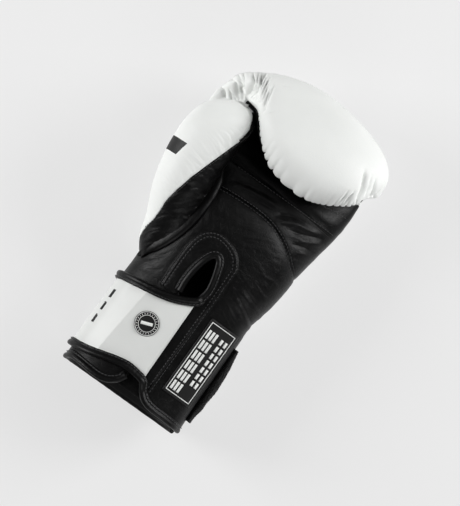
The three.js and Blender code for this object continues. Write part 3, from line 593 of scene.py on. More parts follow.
def volume(points, faces):
    """Six times the volume that faces close in, as a sum of corner products."""
    total = 0.0
    for k in range(1, faces.shape[1] - 1):
        a, b, c = points[faces[:, 0]], points[faces[:, k]], points[faces[:, k + 1]]
        total += np.einsum("ij,ij->", a, np.cross(b, c))
    return total


def thick_skin(outer, inner, faces):
    """A closed body: faces on the outer points, the same turned round on the inner ones, and a
    wall along every open edge."""
    count = len(outer)
    edges = np.concatenate([faces[:, [k, (k + 1) % 4]] for k in range(4)])
    _, first, times = np.unique(np.sort(edges, 1), axis=0, return_index=True, return_counts=True)
    rim = edges[first[times == 1]]
    wall = np.column_stack([rim[:, 1], rim[:, 0], rim[:, 0] + count, rim[:, 1] + count])
    return np.concatenate([outer, inner]), [faces, faces[:, ::-1] + count, wall]


def slab(outer, inner, wrap=False):
    """A closed body between two grids of points of one size."""
    faces = cells(*outer.shape[:2], wrap)
    return thick_skin(outer.reshape(-1, 3), inner.reshape(-1, 3), faces)


def padded_skin(outer, inner, step):
    """A closed body between a fine outer grid and an inner grid of every step-th point, with a
    many-sided wall piece to each inner edge."""
    rows, cols = outer.shape[:2]
    deep, wide = inner.shape[:2]
    count = rows * cols
    number = np.arange(count).reshape(rows, cols)
    under = np.arange(deep * wide).reshape(deep, wide) + count
    walls = []
    for fine, coarse, turned in (
        (number[0], under[0], False), (number[-1], under[-1], True),
        (number[:, 0], under[:, 0], True), (number[:, -1], under[:, -1], False),
    ):
        starts = np.arange(len(coarse) - 1) * step
        run = fine[starts[:, None] + np.arange(step, -1, -1)]
        ring = np.column_stack([run, coarse[:-1], coarse[1:]])
        walls.append(ring[:, ::-1] if turned else ring)
    faces = [cells(rows, cols), cells(deep, wide)[:, ::-1] + count, *walls]
    return np.concatenate([outer.reshape(-1, 3), inner.reshape(-1, 3)]), faces


def unit(vectors):
    """Vectors made 1 long."""
    return vectors / np.linalg.norm(vectors, axis=1, keepdims=True)


def path_frame(path, up):
    """Unit directions along a path and to its right."""
    run = unit(np.gradient(path, axis=0))
    return run, unit(np.cross(run, up))


def carried(path, up, profile):
    """A closed tube: a ring of profile points, sideways and upwards, at each point of a path."""
    run, across = path_frame(path, up)
    lift = np.cross(across, run)
    rings = path[:, None] + across[:, None] * profile[..., :1] + lift[:, None] * profile[..., 1:]
    rows, cols = rings.shape[:2]
    points = np.concatenate([rings.reshape(-1, 3), rings[0].mean(0)[None], rings[-1].mean(0)[None]])
    ring = np.arange(cols)
    start = np.column_stack([np.full(cols, rows * cols), np.roll(ring, -1), ring])
    last = (rows - 1) * cols
    end = np.column_stack([np.full(cols, rows * cols + 1), last + ring, last + np.roll(ring, -1)])
    return points, [cells(rows, cols, wrap=True), start, end]


def piece(name, points, faces, replaced, materials, numbers=None):
    """Puts points and faces into a mesh object that stands for CAD nodes and rides on the root.

    faces is a list of arrays, one to each material in numbers, or all of the first material.
    """
    if sum(volume(points, part) for part in faces) < 0:
        faces = [part[:, ::-1] for part in faces]
    mesh = bpy.data.meshes.new(name)
    placed = (points - [0, REST_Y, 0]) * 0.001
    mesh.from_pydata(placed.tolist(), [], [face for part in faces for face in part.tolist()])
    for material in materials:
        mesh.materials.append(bpy.data.materials[material])
    if numbers:
        index = np.concatenate([np.full(len(f), n) for f, n in zip(faces, numbers)])
        mesh.polygons.foreach_set("material_index", index.astype(np.int32))
    mesh.polygons.foreach_set("use_smooth", np.ones(len(mesh.polygons), bool))
    mesh.update()
    body = bpy.data.objects.new(name, mesh)
    bpy.context.collection.objects.link(body)
    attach(body, "root")
    if replaced:
        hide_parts(*replaced)
    return body


# Relief of the leather

def palm_curves():
    """Lines of seams and stitches over the palm, in millimetres from above."""
    return {
        "heel seam": smooth_line(over_palm(HEEL_SEAM), 60),
        "welt": smooth_line(over_palm(WELT_PATH), 50),
        "patch": smooth_line(over_palm(PATCH_OUTLINE), 90),
        "tip stitch": smooth_line([[40, 234.5], [50, 236.5], [60, 238], [70, 239]], 20),
        "cross stitch": np.array([[-34.0, SEAM_UPPER - 1.6], [71.0, SEAM_UPPER - 1.6]]),
    }


CURVES = palm_curves()


def creases(x, y, heading, pitch, length, seed):
    """Fine folds that run along a heading: sharp valleys where stretched noise passes nought."""
    turn = np.radians(heading)
    u = (x * np.cos(turn) + y * np.sin(turn)) / length
    v = (-x * np.sin(turn) + y * np.cos(turn)) / pitch
    n = drift(u, v + 0.6 * drift(u * 0.7, v * 0.3, seed + 3), seed)
    return np.abs(n) ** 0.6 - 0.55


def blob(x, y, cx, cy, rx, ry):
    """A soft spot, 1 at its middle, that dies away over two radii."""
    return np.exp(-((x - cx) / rx) ** 2 - ((y - cy) / ry) ** 2)


def creased(x, y, table):
    """Height of a table's fine folds, each row of them inside its own soft spot."""
    return sum(high * blob(x, y, *spot) * creases(x, y, *lines) for high, spot, lines in table)


def palm_relief(x, y):
    """Height of the palm's leather over the form: puffed beside its seams, pulled down in them,
    with creases where the hand bends."""
    heel, side = from_line(x, y, CURVES["heel seam"])
    below = np.where(side < 0, heel, 0)
    above = np.where(side > 0, heel, 0)
    lift = np.where(side < 0, 6.0 * (1 - np.exp(-below / 9.0)) * np.exp(-below / 26), 0)
    lift += np.where(side > 0, 0.7 * (1 - np.exp(-above / 2.5)) * np.exp(-above / 9), 0)
    lift -= 0.9 * np.exp(-(heel / 1.3) ** 2)
    cross = np.abs(y - SEAM_UPPER)
    lift += np.where(y > SEAM_UPPER, 1.5 * np.exp(-((y - 228) / 3.6) ** 2), 0)
    lift += np.where(y < SEAM_UPPER, 0.8 * (1 - np.exp(-cross / 2)) * np.exp(-cross / 8), 0)
    lift -= 0.9 * np.exp(-(cross / 1.2) ** 2)
    tip = from_line(x, y, CURVES["tip stitch"])[0]
    lift -= 0.5 * np.exp(-(tip / 1.0) ** 2)
    welt = from_line(x, y, CURVES["welt"])[0]
    lift -= 1.3 * np.exp(-(welt / 5.0) ** 2)
    patch, patch_side = from_line(x, y, CURVES["patch"])
    lift -= np.where(patch_side > 0, 0.15 * np.exp(-(patch / 2.2) ** 2), 0)
    lift -= folded(x, y, PALM_FOLDS)
    lift += creased(x, y, PALM_CREASES)
    lift += 0.35 * drift(x / 23, y / 23, 8)
    return lift * fade(84, 60, x)


# Materials

def new_group(name, inputs, outputs):
    """An empty shader node group with named value inputs and outputs."""
    group = bpy.data.node_groups.new(name, "ShaderNodeTree")
    for label, default in inputs:
        socket = group.interface.new_socket(label, in_out="INPUT", socket_type="NodeSocketFloat")
        socket.default_value = default
    for label, kind in outputs:
        group.interface.new_socket(label, in_out="OUTPUT", socket_type=kind)
    return group, group.nodes.new("NodeGroupInput"), group.nodes.new("NodeGroupOutput")


def node(tree, kind, links=(), **settings):
    """A node with its settings made and its inputs linked or set by name or number."""
    made = tree.nodes.new(kind)
    for key, value in settings.items():
        setattr(made, key, value)
    for key, value in links:
        if isinstance(value, bpy.types.NodeSocket):
            tree.links.new(value, made.inputs[key])
        else:
            made.inputs[key].default_value = value
    return made


def maths(tree, operation, *values):
    """The output of a Math node over its values."""
    return node(tree, "ShaderNodeMath", enumerate(values), operation=operation).outputs[0]


def ramp(tree, value, low, high, to_low=0.0, to_high=1.0):
    """A value moved smoothly from one range to another, and held at its ends."""
    links = (("Value", value), ("From Min", low), ("From Max", high), ("To Min", to_low),
             ("To Max", to_high))
    made = node(tree, "ShaderNodeMapRange", links, interpolation_type="SMOOTHSTEP")
    return made.outputs[0]


def leather_grain():
    """Grain of finished leather: small rounded cells, finer pores in them and soft creases."""
    group, given, out = new_group(
        "leather_grain",
        (("Cell Size", 1.1), ("Creases", 0.4), ("Crease Size", 9.0)),
        (("Height", "NodeSocketFloat"), ("Pores", "NodeSocketFloat"), ("Tone", "NodeSocketFloat")),
    )
    place = node(group, "ShaderNodeTexCoord").outputs["Object"]
    scale = maths(group, "DIVIDE", 1000.0, given.outputs["Cell Size"])
    warp = node(group, "ShaderNodeTexNoise", (("Vector", place), ("Scale", 420.0), ("Detail", 2.0)))
    bent = node(group, "ShaderNodeVectorMath",
                ((0, warp.outputs["Color"]), (1, (0.0012, 0.0012, 0.0012)), (2, place)),
                operation="MULTIPLY_ADD").outputs[0]
    cell = node(group, "ShaderNodeTexVoronoi", (("Vector", bent), ("Scale", scale)),
                feature="DISTANCE_TO_EDGE").outputs["Distance"]
    rounded = ramp(group, cell, 0.0, 0.35)
    pore = node(group, "ShaderNodeTexNoise",
                (("Vector", place), ("Scale", 2600.0), ("Detail", 2.0))).outputs["Fac"]
    crease_scale = maths(group, "DIVIDE", 1000.0, given.outputs["Crease Size"])
    long = node(group, "ShaderNodeTexNoise",
                (("Vector", place), ("Scale", crease_scale), ("Detail", 4.0), ("Roughness", 0.6),
                 ("Distortion", 0.6))).outputs["Fac"]
    fold = ramp(group, maths(group, "ABSOLUTE", maths(group, "SUBTRACT", long, 0.5)), 0.0, 0.035)
    crease = maths(group, "MULTIPLY", fold, given.outputs["Creases"])
    height = maths(group, "ADD", maths(group, "MULTIPLY", rounded, 0.45),
                   maths(group, "MULTIPLY", pore, 0.25))
    height = maths(group, "ADD", height, crease)
    tone = node(group, "ShaderNodeTexNoise",
                (("Vector", place), ("Scale", 28.0), ("Detail", 3.0))).outputs["Fac"]
    for key, value in (("Height", height), ("Pores", rounded), ("Tone", tone)):
        group.links.new(value, out.inputs[key])


def woven():
    """Plain weave of lining cloth: two crossed waves that take turns over each other."""
    group, given, out = new_group(
        "woven", (("Thread", 0.55),), (("Height", "NodeSocketFloat"), ("Tone", "NodeSocketFloat")),
    )
    place = node(group, "ShaderNodeSeparateXYZ",
                 ((0, node(group, "ShaderNodeTexCoord").outputs["Object"]),))
    rate = maths(group, "DIVIDE", 3141.6, given.outputs["Thread"])
    waves = []
    for axis, lean in (("X", 0.6), ("Y", 0.4)):
        slant = maths(group, "MULTIPLY", place.outputs["Z"], lean)
        at = maths(group, "ADD", place.outputs[axis], slant)
        waves.append(maths(group, "SINE", maths(group, "MULTIPLY", at, rate)))
    height = maths(group, "MULTIPLY", *waves)
    group.links.new(height, out.inputs["Height"])
    # Tone from the weave's height, darker where a thread dips under the other: painted shade
    group.links.new(ramp(group, height, -1.0, 1.0), out.inputs["Tone"])


def finish(name, color, roughness, specular=0.5, sheen=0.0):
    """A new material's tree and shader, with the shader's plain values set."""
    material = bpy.data.materials.new(name)
    material.use_nodes = True
    tree = material.node_tree
    shader = tree.nodes["Principled BSDF"]
    shader.inputs["Base Color"].default_value = (*color, 1)
    shader.inputs["Roughness"].default_value = roughness
    shader.inputs["Specular IOR Level"].default_value = specular
    shader.inputs["Sheen Weight"].default_value = sheen
    return tree, shader


def tinted(tree, value, dark, light):
    """A colour between two by a value."""
    made = node(tree, "ShaderNodeMix", (("Factor", value), ("A", (*dark, 1)), ("B", (*light, 1))),
                data_type="RGBA")
    return made.outputs["Result"]


def leather(name, dark, light, rough_low, rough_high, cell, creases_weight, strength, specular):
    """Leather: grain and creases as bump, tone and gloss that drift a little."""
    tree, shader = finish(name, light, rough_low, specular)
    grain = node(tree, "ShaderNodeGroup", node_tree=bpy.data.node_groups["leather_grain"])
    grain.inputs["Cell Size"].default_value = cell
    grain.inputs["Creases"].default_value = creases_weight
    tone = tinted(tree, ramp(tree, grain.outputs["Tone"], 0.3, 0.7), dark, light)
    tree.links.new(tone, shader.inputs["Base Color"])
    gloss = ramp(tree, grain.outputs["Pores"], 0.0, 1.0, rough_high, rough_low)
    tree.links.new(gloss, shader.inputs["Roughness"])
    bump = node(tree, "ShaderNodeBump", (("Height", grain.outputs["Height"]),
                                         ("Strength", strength), ("Distance", 0.00018)))
    tree.links.new(bump.outputs["Normal"], shader.inputs["Normal"])


def lining_cloth(name, dark, light):
    """Woven lining: thread by thread bump and a soft sheen."""
    tree, shader = finish(name, light, 0.85, 0.25, 0.3)
    weave = node(tree, "ShaderNodeGroup", node_tree=bpy.data.node_groups["woven"])
    tree.links.new(tinted(tree, weave.outputs["Tone"], dark, light), shader.inputs["Base Color"])
    bump = node(tree, "ShaderNodeBump", (("Height", weave.outputs["Height"]), ("Strength", 0.5),
                                         ("Distance", 0.0002)))
    tree.links.new(bump.outputs["Normal"], shader.inputs["Normal"])


def thread(name, dark, light, roughness):
    """Sewing thread: a tight twist as bump."""
    tree, shader = finish(name, light, roughness, 0.4, 0.2)
    place = node(tree, "ShaderNodeTexCoord").outputs["Object"]
    twist = node(tree, "ShaderNodeTexWave", (("Vector", place), ("Scale", 900.0),
                                             ("Distortion", 1.5)), bands_direction="DIAGONAL")
    # Colour banded by the twist, lighter on each ridge and darker in its grooves: painted light and
    # shade
    tree.links.new(tinted(tree, twist.outputs["Fac"], dark, light), shader.inputs["Base Color"])
    bump = node(tree, "ShaderNodeBump", (("Height", twist.outputs["Fac"]), ("Strength", 0.4),
                                         ("Distance", 0.0001)))
    tree.links.new(bump.outputs["Normal"], shader.inputs["Normal"])


def hook_cloth(name):
    """Hook tape: a dense dark pile."""
    tree, shader = finish(name, (0.002, 0.002, 0.002), 0.95, 0.1, 0.08)
    place = node(tree, "ShaderNodeTexCoord").outputs["Object"]
    pile = node(tree, "ShaderNodeTexVoronoi", (("Vector", place), ("Scale", 1300.0)))
    tuft = ramp(tree, pile.outputs["Distance"], 0.0, 0.6, 1.0, 0.0)
    # Colour from the tufts' height, lighter on their tops and darker between them: painted shade in
    # the pile
    tree.links.new(tinted(tree, tuft, (0.0005, 0.0005, 0.0005), (0.0032, 0.0032, 0.0033)),
                   shader.inputs["Base Color"])
    bump = node(tree, "ShaderNodeBump", (("Height", tuft), ("Strength", 0.9), ("Distance", 0.0006)))
    tree.links.new(bump.outputs["Normal"], shader.inputs["Normal"])


# Settings that a user can change

class GloveSizes(bpy.types.PropertyGroup):
    """Sizes of the glove's dressing."""

    binding_width: bpy.props.FloatProperty(
        name="Binding width", description="Width of the bindings over an edge",
        default=0.0062, unit="LENGTH")
    binding_height: bpy.props.FloatProperty(
        name="Binding height", description="Thickness of a binding across its edge",
        default=0.0048, unit="LENGTH")
    stitch_pitch: bpy.props.FloatProperty(
        name="Stitch pitch", description="Distance from one stitch to the next",
        default=0.0031, unit="LENGTH")
    stitch_length: bpy.props.FloatProperty(
        name="Stitch length", description="Length of thread that shows in a stitch",
        default=0.0022, unit="LENGTH")
    stitch_thickness: bpy.props.FloatProperty(
        name="Thread", description="Thickness of the sewing thread",
        default=0.0008, unit="LENGTH")
    gather_depth: bpy.props.FloatProperty(
        name="Gather depth", description="Depth of the folds at the sides of the fist",
        default=0.0022, unit="LENGTH")
    scallop_depth: bpy.props.FloatProperty(
        name="Scallop depth", description="How far the fingertip seam bulges between puckers",
        default=0.0008, unit="LENGTH")


class GloveColours(bpy.types.PropertyGroup):
    """Colours and light of the glove and its stage."""

    white: bpy.props.FloatVectorProperty(
        name="White leather", description="Colour of the light leather", subtype="COLOR",
        default=(0.90, 0.915, 0.895), min=0, max=1)
    black: bpy.props.FloatVectorProperty(
        name="Black leather", description="Colour of the dark leather", subtype="COLOR",
        default=(0.0011, 0.0011, 0.0012), min=0, max=1)
    floor: bpy.props.FloatVectorProperty(
        name="Floor", description="Colour of the pale floor", subtype="COLOR",
        default=(0.25, 0.25, 0.25), min=0, max=1)
    key_power: bpy.props.FloatProperty(
        name="Side lights", description="Power of the two large lights at the sides",
        default=26.0, unit="POWER")


# Operators

class GLOVE_OT_materials(bpy.types.Operator):
    """Makes the leathers, lining, thread, hook tape and prints."""

    bl_idname = "glove.materials"
    bl_label = "Materials"

    def execute(self, context):
        colours = context.scene.glove_colours
        white, black = np.array(colours.white), np.array(colours.black)
        leather_grain()
        woven()
        for name, color, dark, light, *values in LEATHERS:
            base = white if color == "white" else black
            leather(name, dark * base, light * base, *values)
        lining_cloth("black_lining", 0.35 * black, 0.9 * black)
        # Black thread that runs up to a dark grey, far lighter than the black leather: partly the
        # thread's own colour and partly a painted highlight that makes the stitches show as light
        # dots
        thread("black_thread", (0.01, 0.01, 0.0105), (0.05, 0.051, 0.053), 0.45)
        thread("grey_thread", (0.3, 0.3, 0.3), (0.62, 0.62, 0.62), 0.6)
        hook_cloth("hook_pile")
        return {"FINISHED"}


def seam_wave(angle):
    """Wave of the fingertip seam, nought at each pucker, and how strong it is at an angle."""
    phase = angle * SCALLOPS / 180 + 0.7 * drift(angle / 19, 0 * angle, 51)
    return np.sin(np.pi * phase), 0.65 + 0.5 * drift(angle / 13, 0 * angle, 54)


class GLOVE_OT_knuckles(bpy.types.Operator):
    """Padded back of the hand, knuckles and curled fingers, gathered at the sides of the fold."""

    bl_idname = "glove.knuckles"
    bl_label = "Knuckle pad"

    def execute(self, context):
        sizes = context.scene.glove_sizes
        depth, scallop = 1000 * sizes.gather_depth, 1000 * sizes.scallop_depth
        first, step = PAD_START / PIVOT_Y, HOLLOW_STEP
        parts, start = [[first]], first
        for end, count in KNUCKLE_STEPS:
            parts.append(np.linspace(start, end, count + 1)[1:])
            start = end
        station = np.concatenate(parts)
        share = np.linspace(0, 1, KNUCKLE_COLUMNS + 1)
        share = share - 0.1 * np.sin(2 * np.pi * share)
        left, right = seam_angles(station)
        s = station[:, None]
        angle = mix(left[:, None], right[:, None], share)
        turned = np.clip(s - 1, 0, 1)
        grid = on_form(s, angle, wave=scallop * self.scallops(angle))
        over = np.sin(np.pi / 2 * np.clip(s - 2, 0, 1))
        grid[..., 1] -= CORNER_DIP * over * np.exp(-(((grid[..., 0] - CORNER_X) / 15) ** 2))
        out = normals(grid)
        out *= np.sign((out * (grid - grid.mean((0, 1)))).sum())
        upward = fade(-0.1, 0.3, out[..., 2])
        height = (1 - upward) * self.gathers(turned, angle, left[:, None], depth, 27, 21)
        height += (1 - upward) * self.gathers(turned, -angle, -right[:, None], 0.6 * depth, 24, 37)
        height -= upward * FOLD_DEPTH * folded(grid[..., 0], grid[..., 1], FIST_FOLDS)
        height += self.puckers(s, angle)
        height += 0.35 * drift(grid[..., 0] / 30, grid[..., 1] / 30, 41) * fade(2.9, 2.4, s)
        edge = np.minimum(share, 1 - share) * PAD_ROUND
        height -= 1.6 * np.exp(-(edge / 2.2)) * fade(first, first + 0.04, s)
        height -= 2.2 * np.exp(-((s - first) * PIVOT_Y / 3.5))
        outer = grid + out * height[..., None]
        outer[..., 2] = np.maximum(outer[..., 2], 0)
        coarse = station[::step]
        low, high = seam_angles(coarse)
        insets = {key: np.asarray(value)[..., None] if np.ndim(value) else value
                  for key, value in hollow(coarse).items()}
        inner = on_form(coarse[:, None], mix(low[:, None], high[:, None], share[::step]), **insets)
        inner[..., 2] = np.maximum(inner[..., 2], 1)
        points, faces = padded_skin(outer, inner, step)
        pad = piece("knuckle_cover", points, faces, ["knuckle_pad", "back_pad"],
                    ["white_hide", "black_lining"], [0, 1, 1, 0, 0, 0])
        return {"FINISHED"}

    @staticmethod
    def gathers(turned, angle, seam, depth, count, seed):
        """Folds that run out from the side seam: sharp valleys and round ridges along the turn,
        deep at the seam and dying out towards the back, each fold at its own rate."""
        reach = np.clip((-angle - 40) / (-seam - 40), 0, 1)
        phase = count * turned + 0.5 * drift(turned * 9, reach * 1.4, seed)
        ridge = np.abs(np.sin(np.pi * phase)) ** 0.75 - 0.62
        strength = 0.75 + 0.45 * drift(np.floor(phase) * 0.37 + 0.5, 0 * phase, seed + 1)
        slope = 1.6 + 1.0 * drift(np.floor(phase) * 0.53 + 0.2, 0 * phase, seed + 2)
        span = fade(0.02, 0.16, turned) * fade(1.0, 0.93, turned)
        return depth * ridge * strength * span * reach**slope

    @staticmethod
    def scallops(angle):
        """Bulges of the fingertip seam between its puckers, from -1 to 1, not quite even."""
        wave, strength = seam_wave(angle)
        return (2 * np.abs(wave) ** 0.6 - 1) * strength

    @staticmethod
    def puckers(s, angle):
        """Grooves that run up from the notches of the fingertip seam and close within 8 mm."""
        wave, strength = seam_wave(angle)
        notch = np.exp(-(wave / 0.25) ** 2) * strength
        near = np.clip((s - 2.35) / 0.6, 0, 1) ** 2
        fine = drift(angle / 4.2, s * 1.5, 53) * np.clip((s - 2.2) / 0.7, 0, 1) ** 2
        return -1.3 * notch * near + 0.3 * fine + 0.5 * np.clip((s - 2.55) / 0.4, 0, 1)


def level(station):
    """A line that keeps one station at every angle."""
    return lambda angle: np.full_like(angle, station)


class GLOVE_OT_palm(bpy.types.Operator):
    """Palm panels, the lining panel inside the curl, and the patch round the slot."""

    bl_idname = "glove.palm"
    bl_label = "Palm panels"

    def execute(self, context):
        self.heel()
        self.upper()
        self.fingers()
        self.slot_patch()
        return {"FINISHED"}

    @staticmethod
    def seam_station(angle):
        """Station of the heel seam at an angle round the palm."""
        heel = over_palm(HEEL_SEAM)
        x = on_form(0.74, angle)[..., 0]
        y = np.interp(x, heel[:, 0], heel[:, 1])
        return y / fold_line(x)

    @staticmethod
    def panel(name, low, high, size, wall, replaced, opening=None, taper=0.0):
        """A panel between two lines of stations, raised by the palm's relief."""
        rows, cols = size
        v = np.linspace(0, 1, rows)[:, None]
        share = np.linspace(0, 1, cols)
        guess = mix(low(180 * np.ones(cols)), high(180 * np.ones(cols)), v)
        left, right = seam_angles(guess)
        angle = mix(right + 0.5, 359.5 + left, share)
        station = mix(low(angle[0]), high(angle[-1]), v)
        left, right = seam_angles(station)
        angle = mix(right + 0.5, 359.5 + left, share)
        base = on_form(station, angle)
        edge = np.minimum(share, 1 - share)
        lift = palm_relief(base[..., 0], base[..., 1]) * fade(0.0, 0.05, edge)
        lift = lift * (1 - fade(1.0, 1.06, station))
        tip = taper * fade(2.2, 3.0, station)
        outer = on_form(station, angle, side=-0.5 * lift, palm=-lift, tip=tip)
        inner = on_form(station, angle, side=wall, palm=wall, tip=tip + 1.5 * (taper > 0))
        faces = cells(rows, cols)
        flat_outer, flat_inner = outer.reshape(-1, 3), inner.reshape(-1, 3)
        if opening is not None:
            middle = flat_outer[faces].mean(1)
            up = middle[:, 2] > FOLD_HEIGHT * 0.35
            faces = faces[~(inside(middle[:, 0], middle[:, 1], opening) & up)]
        used, numbers = np.unique(faces, return_inverse=True)
        points, parts = thick_skin(flat_outer[used], flat_inner[used], numbers.reshape(-1, 4))
        return piece(name, points, parts, replaced,
                     ["black_hide", "black_lining"], [0, 1, 0])

    def heel(self):
        """The palm up to the heel seam, cut out round the slit and below the cuff's edge."""
        slit = np.concatenate([
            SLOT_EDGE, SLIT_THUMB_SIDE, CUFF_EDGE_THUMB_SIDE, BELOW_CUFF,
            CUFF_EDGE_FINGER_SIDE[::-1], SLIT_FINGER_SIDE,
        ])
        pad = self.panel("heel_cover", level(1 / PIVOT_Y), self.seam_station, HEEL_GRID,
                         PALM_WALL, ["palm_heel"], over_palm(slit))

    def upper(self):
        """The palm between the heel seam and the cross seam."""
        self.panel("upper_cover", self.seam_station, level(SEAM_UPPER / PIVOT_Y), UPPER_GRID,
                   PALM_WALL, ["palm_upper"])

    def fingers(self):
        """The lining from the cross seam round inside the curl, thinner towards the fingertips."""
        self.panel("finger_cover", level(SEAM_UPPER / PIVOT_Y), level(2.96), FINGER_GRID,
                   FINGER_WALL, ["finger_panel"], taper=2.0)

    @staticmethod
    def slot_patch():
        """A ribbon round the slot, from the patch's outline in to the slot's binding."""
        outside = smooth_line(over_palm(PATCH_OUTLINE), PATCH_STEPS)
        leg = np.concatenate([PATCH_LEG, SLOT_EDGE[1:], PATCH_LEG_END])
        leg = smooth_line(over_palm(leg), PATCH_STEPS)[::-1]
        share = np.linspace(0, 1, PATCH_COLUMNS)[None, :, None]
        flat = outside[:, None] * (1 - share) + leg[:, None] * share
        x, y = flat[..., 0], flat[..., 1]
        edge = share[..., 0] * np.linalg.norm(outside - leg, axis=1)[:, None]
        puff = 0.3 * (1 - np.exp(-edge / 2.0)) + 0.4 * np.exp(-((edge - 3.2) / 1.0) ** 2)
        puff -= sum(0.35 * np.exp(-((edge - row) / 0.6) ** 2) for row in PATCH_STITCHES)
        length = np.linalg.norm(np.diff(outside, axis=0), axis=1).sum()
        run = length * np.linspace(0, 1, PATCH_STEPS)[:, None]
        phase = run / 3.1 + 0.5 * drift(run / 9, 0 * run, 14)
        pucker = np.abs(np.sin(np.pi * phase)) ** 0.7 - 0.6
        puff += 0.5 * pucker * np.exp(-((edge - 4.0) / 2.6) ** 2)
        puff += creased(x, y, PATCH_CREASES)
        base = palm_relief(x, y)
        outer = on_palm(x, y, base + 0.4 + puff)
        inner = on_palm(x, y, base - 0.2)
        points, parts = slab(outer, inner)
        piece("slot_patch_cover", points, parts, ["slot_patch"], ["black_hide"])


class GLOVE_OT_thumb(bpy.types.Operator):
    """Thumb: white padded outside, black inner panel and the welt at its root."""

    bl_idname = "glove.thumb"
    bl_label = "Thumb"

    def execute(self, context):
        outside = lambda seam: (seam, 360 + THUMB_UNDER)
        inside_edges = lambda seam: (0 * seam + THUMB_UNDER, seam)
        shell = self.half("thumb_cover", THUMB_GRID, outside, THUMB_PAD, "thumb_shell", "white")
        self.half("thumb_panel_cover", THUMB_PANEL_GRID, inside_edges, THUMB_WALL, "thumb_panel",
                  "black")
        line = smooth_line(over_palm(WELT_PATH), WELT_STEPS)
        path, above = on_palm(line[:, 0], line[:, 1], 0.6), on_palm(line[:, 0], line[:, 1], 1.6)
        ring = smooth_line(WELT_RING, 40)[::-1]
        at = np.linspace(0, 1, WELT_STEPS)[:, None, None]
        profile = ring[None] * (0.3 + 0.7 * fade(0, 0.14, at)) * (0.4 + 0.6 * fade(1, 0.9, at))
        profile = profile * (1 + 0.05 * drift(at * 32, 0 * at, 12))
        points, faces = carried(path, above - path, profile)
        piece("thumb_welt_cover", points, faces, ["thumb_welt"], ["black_binding"])
        return {"FINISHED"}

    @staticmethod
    def half(name, size, edges, wall, node_name, color):
        """One half of the thumb: puffed between its seams, creased along the inner one, and cut
        off where it is inside the hand."""
        rows, cols = size
        v = np.linspace(0, 1, rows)[:, None]
        along = mix(THUMB_ROWS[0, 0], 1.0, 1 - (1 - v) ** 1.5)
        first, last = edges(column(THUMB_ROWS, 5, along))
        share = np.linspace(0, 1, cols)
        angle = mix(first, last, share)
        edge = np.minimum(share, 1 - share) * np.radians(last - first) * THUMB_HALF
        height = -1.1 * np.exp(-edge / 1.6)
        base = on_thumb(along, angle)
        far = share * np.radians(last - first) * THUMB_HALF
        run = along * THUMB_END
        if color == "white":
            bent = run - 0.3 * far + 1.5 * drift(run / 14, far / 14, 60)
            fine = np.abs(drift(bent / 1.9, far / 18, 61)) ** 0.7 - 0.45
            broad = np.abs(drift(bent / 4.2, far / 24, 66)) ** 0.7 - 0.45
            height += 1.0 * np.exp(-far / 15) * fine * fade(0, 2, far)
            height += 0.9 * np.exp(-far / 22) * broad * fade(0, 5, far)
            height += 0.25 * drift(base[..., 0] / 24, base[..., 1] / 24, 62)
            beside, side = from_line(base[..., 0], base[..., 1], smooth_line(THUMB_BAND, 30))
            top = base[..., 2] > column(THUMB_ROWS, 2, along) * FOLD_HEIGHT
            band = (side > 0) & top & (base[..., 1] > THUMB_BAND[-1, 1])
            height += np.where(band, -3.2 * (1 - np.exp(-beside / 2.2)), 0)
            height += np.where(top, 0.4 * np.exp(-((beside / 1.1) ** 2)), 0)
        else:
            height += 1.5 * creases(base[..., 1], base[..., 0] + base[..., 2], 62, 3.8, 20, 63)
            height += 0.8 * creases(base[..., 1], base[..., 0], 48, 2.2, 12, 64)
        outer = on_thumb(along, angle, height)
        inner = on_thumb(along, angle, -wall)
        faces = cells(rows, cols)
        flat = outer.reshape(-1, 3)
        hidden = depth_inside(flat, 3.0)[faces].all(1)
        beyond, side = from_line(flat[:, 0], flat[:, 1], CURVES["welt"])
        hidden |= ((side < 0) & (beyond > 1.0) & (flat[:, 1] < 150))[faces].all(1)
        faces = faces[~hidden]
        used, numbers = np.unique(faces, return_inverse=True)
        points, parts = thick_skin(flat[used], inner.reshape(-1, 3)[used], numbers.reshape(-1, 4))
        (middle, reach), (turn, spread) = STRIPE_ALONG, STRIPE_ROUND
        stripe = (np.abs(along[:-1] - middle) < reach) & (np.abs(share[:-1] - turn) < spread)
        stripe = ((color == "white") & stripe).ravel()[~hidden]
        parts = [parts[0][~stripe], parts[0][stripe], *parts[1:]]
        return piece(name, points, parts, [node_name],
                     [color + "_hide", "printed_leather"], [0, 1, 0, 0])


